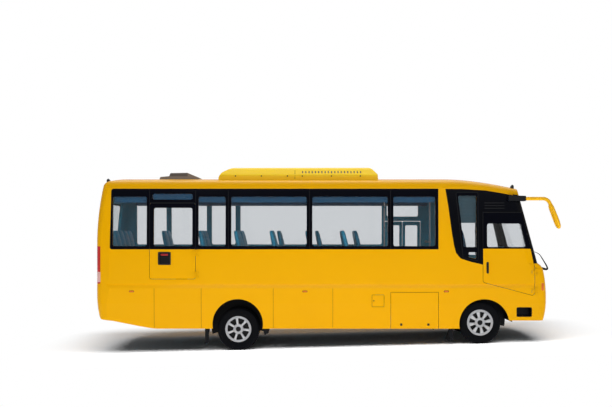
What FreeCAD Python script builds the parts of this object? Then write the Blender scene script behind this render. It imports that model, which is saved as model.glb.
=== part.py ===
import FreeCAD, Part
import math
import os
from FreeCAD import Vector

# A front-engined midi school bus, in millimetres, X forward, Y to the left, Z up.
# The body is drawn level. It stands nose-down on its unladen springs, so every body
# piece is turned by RAKE about the Y axis through the origin before it is written.
# The axles, knuckles and wheels are drawn on the ground.
RAKE = 1.54

# Body widths, from the centre line to the outer face
SKIRT_HALF = 1152.0
BELT_HALF = 1175.0
CANTRAIL_HALF = 1150.0

# Body levels
SKIRT_Z = 388.0
CREASE_LOW_Z = 1198.0
CREASE_TOP_Z = 1284.0
CREASE_DEPTH = 13.0
SILL_Z = 1978.0
BAND_TOP_Z = 3176.0
CANTRAIL_Z = 3187.0
FORM_LOW_Z = -300.0
FORM_HIGH_Z = 3800.0

# Wall thicknesses
WALL = 50.0
LEAF = 36.0
GLASS = 6.0
PANEL_GAP = 8.0
PANE_GAP = 4.0

# Roof
ROOF_Z = 3432.0
ROOF_CAMBER_R = 6000.0
ROOF_EDGE_R = 180.0
ROOF_EDGE_ANGLE = 73.0
ROOF_EDGE_FLARE = 10.0
ROOF_START_X = -5100.0
ROOF_DROP_X = 2400.0
ROOF_DROP_RUNS = [(550.0, -6.5), (1150.0, -8.0), (800.0, 0.0)]

# Front: the near edge of the face in side view, from its bottom up
FRONT_LOW = (4316.0, 540.0)
FRONT_LOW_LEAN = 72.0
FRONT_RUNS = [(360.0, 16.0), (420.0, 8.0), (240.0, 7.0), (170.0, 45.0)]
SCREEN_LOW = (4208.0, 1692.0)
SCREEN_LEAN = 15.35
SCREEN_RUN = 2150.0
FRONT_CORNER_R = 100.0
FRONT_SWEEP = 13.0

# Rear: the same, from the bottom up
REAR_LOW = (-4576.0, 590.0)
REAR_LOW_LEAN = 104.0
REAR_RUNS = [(480.0, -14.0), (1000.0, 0.0), (1175.0, -12.5), (136.0, -60.0), (700.0, 0.0)]
REAR_CORNER_R = 170.0
REAR_SWEEP = 9.0
FACE_FLARE = 80.0
FLARE_RUN = 400.0

# Splits between the body panels
REAR_SPLIT_X = -4440.0
ROOF_SPLIT = [(2700.0, CANTRAIL_Z), (3200.0, 3162.0), (3850.0, 3046.0), (4700.0, 2940.0)]

# Wheels, on the ground
TYRE_R = 421.0
TYRE_W = 244.0
RIM_R = 248.0
FRONT_AXLE_X = 3068.0
WHEELBASE = 4843.0
REAR_AXLE_X = FRONT_AXLE_X - WHEELBASE
TRACK_HALF = 988.0
TWIN_SPACING = 280.0
KINGPIN_INSET = 150.0
ARM_LENGTH = 150.0
ARM_Z = 285.0
TIE_ROD_R = 14.0
KINGPIN_R = 22.0
SPINDLE_R = 40.0
RUNNING = 0.3

# Wheel arches, in the body's side view
REAR_ARCH = (-1792.0, 476.0)
REAR_ARCH_R = 504.0
FRONT_ARCH = (3126.0, 480.0)
FRONT_ARCH_R = 498.0

# Window band
BAND_REAR_X = -4336.0
BAND_SLANT = 28.0
BAND_FRONT_X = 2205.0
PANE_BREAKS = [-1978.0, -360.0, 1258.0]
FRAME = 54.0
FRAME_LOW = 58.0
FRAME_HIGH = 150.0
PANE_CORNER_R = 40.0

# Emergency door in the right wall
EXIT_X = (-3546.0, -2636.0)
EXIT_Z = (1384.0, 2898.0)
EXIT_CORNER_R = 40.0

# Driver's door in the right wall: its outline in side view
DOOR_REAR_X = 3102.0
DOOR_FRONT_X = 4126.0
DOOR_TOP_Z = 2708.0
DOOR_REAR_Z = 1318.0
DOOR_FRONT_Z = 1046.0
DOOR_SHOULDER_Z = 1618.0
DOOR_KNEE = (4050.0, 1982.0)
DOOR_TOP_X = 3866.0
DOOR_GLASS = (2018.0, 2486.0)

# Passenger door in the left wall: two folding leaves
ENTRY_X = (1360.0, 2170.0)
ENTRY_Z = (420.0, 2560.0)
ENTRY_BAR = 52.0
ENTRY_SWING_GAP = 12.0

# Flaps
BAY_X = (1264.0, 2208.0)
BAY_TOP_Z = 1112.0
FUEL_X = (890.0, 1122.0)
FUEL_Z = (830.0, 1060.0)
BOOT_HALF = 760.0
BOOT_Z = (640.0, 1066.0)

# Foot step below the driver's door
STEP_X = (3768.0, 4076.0)
STEP_Z = (624.0, 818.0)
STEP_DEPTH = 170.0
STEP_SHEET = 10.0
STEP_CORNER_R = 28.0

# Hinges
HINGE_PROUD = 15.0
HINGE_R = 9.0
HINGE_LEAF = 60.0

# Floor and frame
FLOOR_Z = 1140.0
FLOOR_T = 50.0
RAIL_Y = 425.0
RAIL_FLANGE = 70.0
RAIL_WEB = 8.0
RAIL_Z = (690.0, 900.0)
RAIL_X = (-3420.0, 4200.0)
BEARER = 60.0
BEARER_SHORT = 30.0
BOARD_JOINT_X = -1500.0
WELL_Y = 640.0
WELL_SHEET = 20.0
WELL_MARGIN = 10.0
WELL_FOOT = 30.0
STEPS = 3
TOW_EYE_X = 4262.0
TOW_EYE_R = 20.0
TOW_PLATE_T = 25.0
BEARERS_X = [-4200.0, -3500.0, -2700.0, -1800.0, -900.0, 0.0, 900.0, 2450.0, 3300.0, 4100.0]
CROSS_X = [-3300.0, -2550.0, -1000.0, 500.0, 2450.0, 4150.0]
CROSS_Z = (790.0, 880.0)

# Windscreen and rear window
SCREEN_HALF = 1066.0
SCREEN_TOP_Z = 2985.0
SCREEN_MARGIN = 50.0
REAR_GLASS_HALF = 900.0
REAR_GLASS_Z = (2080.0, 2990.0)

# Lamps
LAMP_Y = (640.0, 1060.0)
LAMP_Z = (1010.0, 1310.0)
TAIL_Z = (1284.0, 2030.0)
TAIL_DEPTH_X = -4538.0

# Hinge levels and axes
DOOR_HINGE_Z = [1140.0, 1520.0]
EXIT_HINGE_Z = [1470.0, 1900.0]
HINGE_AXIS_Y = -(BELT_HALF + HINGE_PROUD)

# Handle box of the emergency door
EXIT_BOX_X = (-3378.0, -3126.0)
EXIT_BOX_Z = (1664.0, 1918.0)

# Fold line of the passenger door
ENTRY_MID_X = (ENTRY_X[0] + ENTRY_X[1]) / 2
LEAF_FOLD_Y = SKIRT_HALF - LEAF - PANEL_GAP / 2

# Springs and axle beam
SPRING_SAG = {"front": 90.0, "rear": 110.0}
SPRING_HALF = {"front": 640.0, "rear": 740.0}
SPRING_W = 70.0
SPRING_LEAF_T = 13.0
SPRING_LEAVES = 4
EYE_R = 24.0
EYE_PIN_R = 12.0
EYE_PIN_REACH = 14.0
HANGER_Z = 560.0
HANGER_HALF = 36.0
CHEEK_T = 12.0
AXLE_R = 75.0
BEAM_DROP = 90.0
BEAM_H = 70.0
BEAM_W = 70.0

# Propeller shaft and gearbox
SHAFT_R = 42.0
NOSE = (240.0, 13.4)
GEARBOX_X = 2600.0

# Exhaust
EXHAUST_R = 30.0
EXHAUST_Y = 530.0
EXHAUST_ROUTE = [(2300, 560), (-700, 560), (-1150, 640), (-2600, 640), (-3200, 560), (-4100, 560),
                 (-4330, 500)]
EXHAUST_BENDS = [200, 200, 200, 200, 120]
SILENCER_R = 120.0
SILENCER_X = (-300.0, 550.0)
SILENCER_Z = 570.0

# Mirrors: the head as rings (x, z, half depth, half width)
MIRROR_OUT = 70.0
MIRROR_ROOT_X = 3934.0
MIRROR_Z = 2981.0
MIRROR_ARM_R = 36.0
MIRROR_BEND = (4381.0, 4494.0)
MIRROR_BEND_R = 150.0
MIRROR_TILT = -20.0
MIRROR_HEAD = [(4416, 2888, 30, 32), (4434, 2840, 44, 60), (4467, 2750, 50, 92), (4520, 2610, 52, 102),
               (4568, 2480, 50, 98), (4590, 2420, 40, 76), (4602, 2388, 18, 40)]

# Roof air conditioner and ventilator
POD_X = (-2220.0, 1048.0)
POD_HALF = 780.0
POD_TOP_Z = 3652.0
HATCH_X = (-3500.0, -2660.0)
HATCH_HALF = 380.0

# Seats
SEAT_W = 880.0
SEAT_WALL_GAP = 30.0
CUSHION_Z = (1500.0, 1590.0)
CUSHION_D = 430.0
PAN_T = 30.0
LEG_W = 40.0
FOOT_T = 25.0
BACK_TOP_Z = 2350.0
BACK_T = 90.0
BACK_LEAN = 130.0
RIGHT_FRONTS = [925.0 - 720.0 * i for i in range(5)]
LEFT_FRONTS = [1260.0 - 837.0 * i for i in range(6)]
BENCH_FRONT = -3790.0
BENCH_END_GAP = 70.0

# Racks and dash
RACK_X = (-4250.0, 2300.0)
DASH_HALF = 1060.0

# Steering wheel and column
WHEEL_CENTRE = Vector(3560, -600, 1890)
WHEEL_TILT = 30.0
WHEEL_R = 225.0
COLUMN_R = 35.0

# Wipers
WIPER_PIVOTS_Y = (-620.0, 300.0)
WIPER_REACH = 560.0

# Wheel covers
COVER_R = 260.0
HUB_R = 86.0


def side_point(u, v):
    return Vector(u, 0, v)


def front_point(u, v):
    return Vector(0, u, v)


def outline(corners, place):
    """Closed wire through flat corners (u, v) or (u, v, radius), rounded where a radius is given."""
    edges = []
    ends = []
    count = len(corners)
    for i in range(count):
        corner = Vector(corners[i][0], corners[i][1], 0)
        if len(corners[i]) < 3:
            ends.append((corner, None, corner))
            continue
        before = Vector(corners[i - 1][0], corners[i - 1][1], 0) - corner
        after = Vector(corners[(i + 1) % count][0], corners[(i + 1) % count][1], 0) - corner
        before.normalize()
        after.normalize()
        half = before.getAngle(after) / 2
        middle = before + after
        middle.normalize()
        radius = corners[i][2]
        reach = radius / math.tan(half)
        ends.append((corner + before * reach,
                     corner + middle * (radius / math.sin(half) - radius),
                     corner + after * reach))
    for i in range(count):
        first, mid, last = ends[i]
        if mid is not None:
            arc = [place(p.x, p.y) for p in (first, mid, last)]
            edges.append(Part.Arc(*arc).toShape())
        following = ends[(i + 1) % count][0]
        if last.distanceToPoint(following) > 0.001:
            edges.append(Part.makeLine(place(last.x, last.y), place(following.x, following.y)))
    return Part.Wire(edges)


def side_prism(corners, y0, y1):
    """Side-view outline (x, z) carried across the body from y0 to y1."""
    face = Part.Face(outline(corners, side_point))
    face.translate(Vector(0, y0, 0))
    return face.extrude(Vector(0, y1 - y0, 0))


def front_prism(corners, x0, x1):
    """Front-view outline (y, z) carried along the body from x0 to x1."""
    face = Part.Face(outline(corners, front_point))
    face.translate(Vector(x0, 0, 0))
    return face.extrude(Vector(x1 - x0, 0, 0))


def block(x0, x1, y0, y1, z0, z1):
    return Part.makeBox(x1 - x0, y1 - y0, z1 - z0, Vector(x0, y0, z0))


def bar(start, end, radius):
    """Round bar between two points."""
    run = end - start
    return Part.makeCylinder(radius, run.Length, start, run)


def rectangle(u0, u1, v0, v1, radius=0.0):
    if radius:
        return [(u0, v0, radius), (u1, v0, radius), (u1, v1, radius), (u0, v1, radius)]
    return [(u0, v0), (u1, v0), (u1, v1), (u0, v1)]


def fuse(shapes):
    return shapes[0].fuse(shapes[1:]).removeSplitter()


def group(shapes):
    solids = []
    for shape in shapes:
        solids.extend(shape.Solids)
    return Part.makeCompound(solids)


def tangent_runs(start, heading, runs):
    """Side-view path of runs (length, turn in degrees), each one leaving along the last one's end."""
    edges = []
    x, z = start
    for length, turn in runs:
        first = Vector(x, 0, z)
        if turn == 0:
            x += length * math.cos(math.radians(heading))
            z += length * math.sin(math.radians(heading))
            edges.append(Part.makeLine(first, Vector(x, 0, z)))
            continue
        radius = length / math.radians(turn)
        points = []
        for share in (0.5, 1.0):
            angle = heading + turn * share
            points.append(Vector(
                x + radius * (math.sin(math.radians(angle)) - math.sin(math.radians(heading))), 0,
                z - radius * (math.cos(math.radians(angle)) - math.cos(math.radians(heading)))))
        edges.append(Part.Arc(first, points[0], points[1]).toShape())
        x, z = points[1].x, points[1].z
        heading += turn
    return edges, (x, z), heading


def translational_sweep(section, path):
    """The section moved along the path without turning."""
    pipe = Part.BRepOffsetAPI.MakePipeShell(path)
    pipe.setTrihedronMode(Vector(0, 0, 0), Vector(0, 1, 0))
    pipe.add(section)
    pipe.build()
    pipe.makeSolid()
    return Part.Solid(pipe.shape())


def side_section(inset):
    """Front-view outline of both walls: skirt, crease, upright belt and tumblehome."""
    lean = (BELT_HALF - CANTRAIL_HALF) / (CANTRAIL_Z - SILL_Z)
    half = [(SKIRT_HALF - inset, FORM_LOW_Z), (SKIRT_HALF - inset, SKIRT_Z)]
    if inset == 0:
        half.append((BELT_HALF, CREASE_LOW_Z))
        half.append((BELT_HALF - CREASE_DEPTH, CREASE_TOP_Z - CREASE_DEPTH / 2))
    half.append((BELT_HALF - inset, CREASE_TOP_Z))
    half.append((BELT_HALF - inset, SILL_Z))
    half.append((BELT_HALF - inset - lean * (FORM_HIGH_Z - SILL_Z), FORM_HIGH_Z))
    return half + [(-y, z) for y, z in reversed(half)]


def roof_section(inset):
    """Cambered roof with rounded edges that run out past the walls, at the path's first point."""
    turn = math.radians(ROOF_EDGE_ANGLE)
    edge_y = CANTRAIL_HALF - ROOF_EDGE_R * math.sin(turn) - ROOF_EDGE_FLARE - inset
    rise = math.sqrt((ROOF_CAMBER_R - ROOF_EDGE_R) ** 2 - edge_y ** 2)
    edge_z = ROOF_Z - inset - ROOF_CAMBER_R + rise
    start = math.asin(edge_y / (ROOF_CAMBER_R - ROOF_EDGE_R))

    def on_edge(angle, side):
        y = edge_y + ROOF_EDGE_R * math.sin(angle)
        return Vector(0, side * y, edge_z + ROOF_EDGE_R * math.cos(angle))

    def run_out(side):
        end = on_edge(turn, side)
        return Vector(0, end.y + side * FLARE_RUN * math.cos(turn), end.z - FLARE_RUN * math.sin(turn))

    edges = [Part.Arc(on_edge(start, -1), Vector(0, 0, ROOF_Z - inset), on_edge(start, 1)).toShape()]
    for side in (1, -1):
        edges.append(Part.Arc(on_edge(start, side), on_edge((start + turn) / 2, side),
                              on_edge(turn, side)).toShape())
        edges.append(Part.makeLine(on_edge(turn, side), run_out(side)))
        foot = run_out(side)
        edges.append(Part.makeLine(foot, Vector(0, foot.y, FORM_LOW_Z)))
    left = run_out(1).y
    edges.append(Part.makeLine(Vector(0, left, FORM_LOW_Z), Vector(0, -left, FORM_LOW_Z)))
    return Part.Wire(Part.sortEdges(edges)[0])


def roof_form(inset):
    """Roof section carried level from the tail and then down to the front."""
    start = (ROOF_START_X, 0.0)
    edges, _, _ = tangent_runs(start, 0.0, [(ROOF_DROP_X - ROOF_START_X, 0.0)] + ROOF_DROP_RUNS)
    section = roof_section(inset)
    section.translate(side_point(*start))
    return translational_sweep(section, Part.Wire(edges))


def face_section(start, half, corner_r, sweep, ahead):
    """Plan outline of a curved end face with rounded corners, open towards the body's middle."""
    join = math.radians(sweep)
    turn = math.radians(FACE_FLARE)
    join_y = half - corner_r * (math.sin(turn) - math.sin(join))
    bulge = join_y / math.sin(join) * (1 - math.cos(join))
    centre_x = -corner_r * math.cos(join)
    centre_y = join_y - corner_r * math.sin(join)
    x0, z0 = start

    def place(x, y):
        return Vector(x0 + ahead * x, y, z0)

    def on_corner(angle, side):
        return place(centre_x + corner_r * math.cos(angle), side * (centre_y + corner_r * math.sin(angle)))

    def run_out(side):
        x = centre_x + corner_r * math.cos(turn) - FLARE_RUN * math.sin(turn)
        y = centre_y + corner_r * math.sin(turn) + FLARE_RUN * math.cos(turn)
        return place(x, side * y)

    back = run_out(1).y
    edges = [Part.Arc(place(0, -join_y), place(bulge, 0), place(0, join_y)).toShape()]
    for side in (1, -1):
        edges.append(Part.Arc(on_corner(join, side), on_corner((join + turn) / 2, side),
                              on_corner(turn, side)).toShape())
        edges.append(Part.makeLine(on_corner(turn, side), run_out(side)))
        edges.append(Part.makeLine(run_out(side), place(-9400, side * back)))
    edges.append(Part.makeLine(place(-9400, back), place(-9400, -back)))
    return Part.Wire(Part.sortEdges(edges)[0])


def front_form(inset):
    """Front face: bulging fascia, ledge, and the leaning screen plane above it."""
    low = tangent_runs((FRONT_LOW[0] - inset, FRONT_LOW[1]), FRONT_LOW_LEAN, FRONT_RUNS)
    lean = math.radians(FRONT_LOW_LEAN)
    depth = FRONT_LOW[1] - FORM_LOW_Z
    foot = Vector(FRONT_LOW[0] - inset - depth / math.tan(lean), 0, FORM_LOW_Z)
    edges = [Part.makeLine(foot, Vector(FRONT_LOW[0] - inset, 0, FRONT_LOW[1]))] + low[0]
    screen = (SCREEN_LOW[0] - inset, SCREEN_LOW[1])
    edges.append(Part.makeLine(Vector(low[1][0], 0, low[1][1]), side_point(*screen)))
    edges += tangent_runs(screen, 90 + SCREEN_LEAN, [(SCREEN_RUN, 0.0)])[0]
    section = face_section((foot.x, foot.z), CANTRAIL_HALF - inset, FRONT_CORNER_R, FRONT_SWEEP, 1)
    return translational_sweep(section, Part.Wire(edges))


def rear_form(inset):
    """Rear face: upright, tucked in at the bottom and leaning forward above the lamps."""
    lean = math.radians(REAR_LOW_LEAN)
    depth = REAR_LOW[1] - FORM_LOW_Z
    foot = Vector(REAR_LOW[0] + inset - depth / math.tan(lean), 0, FORM_LOW_Z)
    edges = [Part.makeLine(foot, Vector(REAR_LOW[0] + inset, 0, REAR_LOW[1]))]
    edges += tangent_runs((REAR_LOW[0] + inset, REAR_LOW[1]), REAR_LOW_LEAN, REAR_RUNS)[0]
    section = face_section((foot.x, foot.z), CANTRAIL_HALF - inset, REAR_CORNER_R, REAR_SWEEP, -1)
    return translational_sweep(section, Part.Wire(edges))


def body_form(inset):
    """The body as one block, its walls, roof and ends moved in by the inset."""
    sides = front_prism(side_section(inset), -5200, 5200)
    return sides.common(roof_form(inset)).common(front_form(inset)).common(rear_form(inset))


OUTER = body_form(0.0)
OUTER_BACK_X = OUTER.optimalBoundingBox(False).XMin
CABIN = body_form(WALL)
UNDER_LEAF = body_form(LEAF)


def shell(region, inside=CABIN):
    """The stretch of the body's wall that lies in a region."""
    return OUTER.common(region).cut(inside)


def pane(region, inward):
    """Flush sheet: the outer faces in a region, carried inwards by the glass thickness."""
    faces = OUTER.Shells[0].common(region).Faces
    sheets = [face.extrude(inward * GLASS) for face in faces]
    return sheets[0] if len(sheets) == 1 else fuse(sheets)


def side_pane(corners, side):
    return pane(side_prism(corners, *half_space(side)), Vector(0, -side, 0))


def grown(corners, margin, y0, y1):
    """Side prism of an outline with a margin all round."""
    wire = outline(corners, side_point).makeOffset2D(margin, 2)
    face = Part.Face(wire)
    face.translate(Vector(0, y0, 0))
    return face.extrude(Vector(0, y1 - y0, 0))


# Outlines in side view
DOOR = [(DOOR_REAR_X, DOOR_REAR_Z, 40), (DOOR_FRONT_X, DOOR_FRONT_Z, 50), (DOOR_FRONT_X, DOOR_SHOULDER_Z),
        DOOR_KNEE, (DOOR_TOP_X, DOOR_TOP_Z, 30), (DOOR_REAR_X, DOOR_TOP_Z, 30)]
EXIT_DOOR = rectangle(*EXIT_X, *EXIT_Z, EXIT_CORNER_R)
CAB_STEP = rectangle(*STEP_X, *STEP_Z, STEP_CORNER_R)
UNDERSIDE = [(-5200, 604), (-4560, 604), (-4534, 572), (-4280, 544), (-3770, 442), (-3514, 398),
             (-3400, SKIRT_Z), (3300, SKIRT_Z), (3300, 552), (5200, 552), (5200, FORM_LOW_Z - 10),
             (-5200, FORM_LOW_Z - 10)]
FRONT_SPLIT = [(DOOR_FRONT_X + PANEL_GAP, FORM_LOW_Z), (DOOR_FRONT_X + PANEL_GAP, DOOR_SHOULDER_Z),
               (DOOR_KNEE[0] + PANEL_GAP, DOOR_KNEE[1]), (DOOR_TOP_X + PANEL_GAP, DOOR_TOP_Z),
               (DOOR_TOP_X - 90, FORM_HIGH_Z)]


def under_cut():
    """Everything below the body's lower edge, with the four wheel arches."""
    cut = [side_prism(UNDERSIDE, -1400, 1400)]
    for (x, z), radius in ((REAR_ARCH, REAR_ARCH_R), (FRONT_ARCH, FRONT_ARCH_R)):
        cut.append(Part.makeCylinder(radius, 2800, Vector(x, -1400, z), Vector(0, 1, 0)))
    return cut


def roof_region():
    corners = [(-5200, CANTRAIL_Z)] + ROOF_SPLIT + [(ROOF_SPLIT[-1][0], FORM_HIGH_Z), (-5200, FORM_HIGH_Z)]
    return side_prism(corners, -1400, 1400)


def side_region(side):
    """Between the rear corner and the driver's door's front edge, on one side."""
    corners = [(REAR_SPLIT_X, FORM_LOW_Z)] + FRONT_SPLIT + [(REAR_SPLIT_X, FORM_HIGH_Z)]
    return side_prism(corners, min(0, side * 1400), max(0, side * 1400))


def front_region():
    return side_prism(FRONT_SPLIT + [(5200, FORM_HIGH_Z), (5200, FORM_LOW_Z)], -1400, 1400)


def band_panes(side):
    """Outlines of the fixed panes along one side, tail to front."""
    exit_edges = [EXIT_X[0] - PANEL_GAP / 2, EXIT_X[1] + PANEL_GAP / 2]
    if side < 0:
        breaks = exit_edges + PANE_BREAKS + [BAND_FRONT_X]
    else:
        breaks = exit_edges + PANE_BREAKS[:-1] + [ENTRY_X[0] - PANEL_GAP, ENTRY_X[1] + PANEL_GAP]
    panes = [[(BAND_REAR_X, SILL_Z, PANE_CORNER_R), (breaks[0] - PANE_GAP / 2, SILL_Z),
              (breaks[0] - PANE_GAP / 2, BAND_TOP_Z), (BAND_REAR_X + BAND_SLANT, BAND_TOP_Z, PANE_CORNER_R)]]
    for i in range(len(breaks) - 1):
        low = SILL_Z
        if side < 0 and i == 0:
            low = EXIT_Z[1] + PANEL_GAP
        if side > 0 and i == len(breaks) - 2:
            low = ENTRY_Z[1] + ENTRY_BAR
        panes.append(rectangle(breaks[i] + PANE_GAP / 2, breaks[i + 1] - PANE_GAP / 2, low, BAND_TOP_Z))
    return panes


def box_of(corners):
    us = [corner[0] for corner in corners]
    vs = [corner[1] for corner in corners]
    return min(us), max(us), min(vs), max(vs)


def sight_opening(corners):
    """The clear window behind a pane, inside its painted border."""
    u0, u1, v0, v1 = box_of(corners)
    low = v0 + FRAME_LOW
    high = v1 - min(FRAME_HIGH, (v1 - v0) * 0.35)
    if u1 - u0 < 2 * FRAME + 60:
        return None
    return rectangle(u0 + FRAME, u1 - FRAME, low, high, PANE_CORNER_R)


# The dark area around the driver's window, in side view, behind and above the door
SCUTTLE = [(2350, 3180), (2404, 2854), (2480, 2286), (2518, 2058), (2560, 1900, 60), (2650, 1790, 60),
           (2862, 1722), (DOOR_REAR_X - PANEL_GAP, 1668)]
QUARTER_PANE = [(2560, 3110, 30), (2700, 1800, 40), (3000, 1740, 30), (3000, 3110, 30)]
QUARTER_SIGHT = [(2600, 3050, 30), (2732, 1832, 40), (2966, 1785, 30), (2966, 3050, 30)]
LEFT_SIGHT = [(2620, 3060, 60), (2720, 1840, 60), (3980, 1760, 60), (3940, 2060, 40), (3730, 2960, 60)]


def cab_trim_region(side):
    """The dark cab corner: over the door on the right, and a whole window on the left."""
    top = [(3726, 3010), (3716, 3050), (3474, 3094), (3168, 3146), (2700, 3176)]
    if side > 0:
        return SCUTTLE + [(4060, 1668), (3990, 1982)] + top
    return SCUTTLE + [(DOOR_REAR_X - PANEL_GAP, DOOR_TOP_Z + PANEL_GAP), (3800, DOOR_TOP_Z + PANEL_GAP)] + top


def half_space(side):
    return (min(0, side * 1400), max(0, side * 1400))


def side_wall(side):
    """One side wall with its windows, doors and flaps cut."""
    wall = shell(side_region(side))
    cuts = under_cut() + [roof_region()]
    span = half_space(side)
    for corners in band_panes(side):
        cuts.append(side_pane(corners, side))
        sight = sight_opening(corners)
        if sight:
            cuts.append(side_prism(sight, *span))
    cuts.append(side_pane(cab_trim_region(side), side))
    if side < 0:
        cuts.append(side_prism(QUARTER_SIGHT, *span))
        cuts.append(grown(DOOR, PANEL_GAP, *span))
        cuts.append(grown(EXIT_DOOR, PANEL_GAP, *span))
        cuts.append(grown(rectangle(*BAY_X, SKIRT_Z - 60, BAY_TOP_Z), PANEL_GAP, *span))
        cuts.append(grown(rectangle(*FUEL_X, *FUEL_Z, 12), PANEL_GAP, *span))
        cuts.append(side_prism(CAB_STEP, *span))
    else:
        cuts.append(side_prism(LEFT_SIGHT, *span))
        cuts.append(grown(rectangle(*ENTRY_X, *ENTRY_Z), PANEL_GAP, *span))
    return wall.cut(cuts)


def side_windows():
    """All fixed side panes, flush in the walls."""
    panes = []
    for side in (-1, 1):
        for corners in band_panes(side):
            panes.append(side_pane(corners, side))
    panes.append(side_pane(QUARTER_PANE, -1))
    panes.append(side_pane(cab_trim_region(1), 1))
    return group(panes)


def cab_trim():
    """Dark panel round the quarter pane and over the driver's door."""
    trim = side_pane(cab_trim_region(-1), -1)
    return trim.cut(grown(QUARTER_PANE, PANE_GAP, -1400, 0))


def roof_panel():
    return shell(roof_region())


SCREEN_OUTLINE = [(-SCREEN_HALF, SCREEN_LOW[1] + 12, 60), (SCREEN_HALF, SCREEN_LOW[1] + 12, 60),
                  (SCREEN_HALF, SCREEN_TOP_Z, 60), (-SCREEN_HALF, SCREEN_TOP_Z, 60)]


def shrunk(corners, margin, low_margin, high_margin):
    u0, u1, v0, v1 = box_of(corners)
    return rectangle(u0 + margin, u1 - margin, v0 + low_margin, v1 - high_margin, PANE_CORNER_R)


def front_panel():
    """Front face with the screen opening, lamp pockets, grille slots and number plate flat."""
    face = shell(front_region())
    cuts = under_cut() + [roof_region(), grown(DOOR, PANEL_GAP, -1400, 0)]
    cuts.append(windscreen())
    cuts.append(front_prism(shrunk(SCREEN_OUTLINE, SCREEN_MARGIN, SCREEN_MARGIN, 90), 3500, 4700))
    for side in (-1, 1):
        cuts.append(front_prism(lamp_outline(side), 4000, 4700))
    cuts.append(front_prism(GRILLE, 4200, 4700))
    cuts.append(front_prism(INTAKE, 4200, 4700))
    return face.cut(cuts)


def windscreen():
    return pane(front_prism(SCREEN_OUTLINE, 3500, 4700), Vector(-1, 0, 0))


REAR_GLASS = rectangle(-REAR_GLASS_HALF, REAR_GLASS_HALF, *REAR_GLASS_Z, 90)
BOOT_LID = rectangle(-BOOT_HALF, BOOT_HALF, *BOOT_Z, 40)
BOOT_HOLE = rectangle(-BOOT_HALF - PANEL_GAP, BOOT_HALF + PANEL_GAP, BOOT_Z[0] - PANEL_GAP,
                      BOOT_Z[1] + PANEL_GAP, 48)


def rear_panel():
    """Rear face and both rear corners, with the window, lid and lamp openings."""
    face = shell(block(-5200, REAR_SPLIT_X, -1400, 1400, FORM_LOW_Z, FORM_HIGH_Z))
    cuts = under_cut() + [roof_region()]
    cuts.append(rear_window())
    cuts.append(front_prism(shrunk(REAR_GLASS, 60, 60, 60), -5000, -4300))
    cuts.append(front_prism(BOOT_HOLE, -5000, -4300))
    for side in (-1, 1):
        cuts.append(tail_lamp_region(side))
    return face.cut(cuts)


def rear_window():
    return pane(front_prism(REAR_GLASS, -5000, -4300), Vector(1, 0, 0))


GRILLE = rectangle(-520, 520, 1180, 1330, 30)
INTAKE = rectangle(-600, 600, 700, 860, 40)


def lamp_outline(side):
    """Front view of one headlamp, narrower towards the grille."""
    inner, outer = LAMP_Y
    corners = [(side * inner, LAMP_Z[0] + 60, 40), (side * outer, LAMP_Z[0], 40),
               (side * (outer + 30), LAMP_Z[1], 30), (side * inner, LAMP_Z[1] - 40, 40)]
    return corners


def headlamps():
    """One closed lamp unit per side, filling its pocket in the face."""
    lamps = []
    for side in (-1, 1):
        lamps.append(shell(front_prism(lamp_outline(side), 4000, 4700)))
    return group(lamps)


def cab_step():
    """Foot-step box let into the right wall below the driver's door."""
    depth = -SKIRT_HALF + STEP_DEPTH
    tray = OUTER.common(side_prism(CAB_STEP, -1400, depth))
    hollow = rectangle(STEP_X[0] + STEP_SHEET, STEP_X[1] - STEP_SHEET, STEP_Z[0] + STEP_SHEET,
                       STEP_Z[1] - STEP_SHEET, STEP_CORNER_R - STEP_SHEET)
    return tray.cut(side_prism(hollow, -1400, depth - STEP_SHEET))


def tail_lamp_region(side):
    """The wrapped lamp at a rear corner."""
    inner = 800.0
    span = sorted((side * inner, side * 1400))
    return block(-5000, TAIL_DEPTH_X, span[0], span[1], *TAIL_Z)


def tail_lamps():
    return group([shell(tail_lamp_region(side)) for side in (-1, 1)])


def driver_door():
    """Driver's door: pressed panel below, window frame above, pane recess cut."""
    door = shell(side_prism(DOOR, -1400, 0))
    door = door.cut([driver_door_glass(), side_prism(DOOR_SIGHT, -1400, 0)])
    return fuse([door] + door_hinges(DOOR_HINGE_Z, driver_hinge()))


DOOR_SIGHT = [(3180, DOOR_GLASS[0], 40), (3960, DOOR_GLASS[0], 30), (3850, DOOR_GLASS[1], 40),
              (3180, DOOR_GLASS[1], 40)]


def driver_hinge():
    return Vector(DOOR_FRONT_X + PANEL_GAP / 2, HINGE_AXIS_Y, 0)


def exit_hinge():
    return Vector(EXIT_X[1] + PANEL_GAP / 2, HINGE_AXIS_Y, 0)


def fuel_hinge():
    return Vector(FUEL_X[1] + PANEL_GAP / 2, HINGE_AXIS_Y, 0)


def bay_hinge():
    return Vector(0, HINGE_AXIS_Y, BAY_TOP_Z + PANEL_GAP / 2)


def boot_hinge():
    return Vector(OUTER_BACK_X - HINGE_PROUD, 0, BOOT_Z[1] + PANEL_GAP / 2)


def entry_hinge():
    return Vector(ENTRY_X[1] + PANEL_GAP / 2, -HINGE_AXIS_Y, 0)


def entry_fold():
    return Vector(ENTRY_MID_X, LEAF_FOLD_Y, 0)


def hinge_knuckle(axis, z, length, reach):
    """Barrel on the axis with a strap that reaches the panel beside it."""
    barrel = Part.makeCylinder(HINGE_R, length, Vector(axis.x, axis.y, z), Vector(0, 0, 1))
    strap = block(min(axis.x, axis.x + reach), max(axis.x, axis.x + reach),
                  axis.y - 2, axis.y + 3, z, z + length)
    end = axis.x + reach
    pad = block(min(end, end - math.copysign(30, reach)), max(end, end - math.copysign(30, reach)),
                axis.y - 2, -BELT_HALF + CREASE_DEPTH + 8, z, z + length)
    return barrel.fuse([strap, pad]).cut(OUTER)


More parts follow.
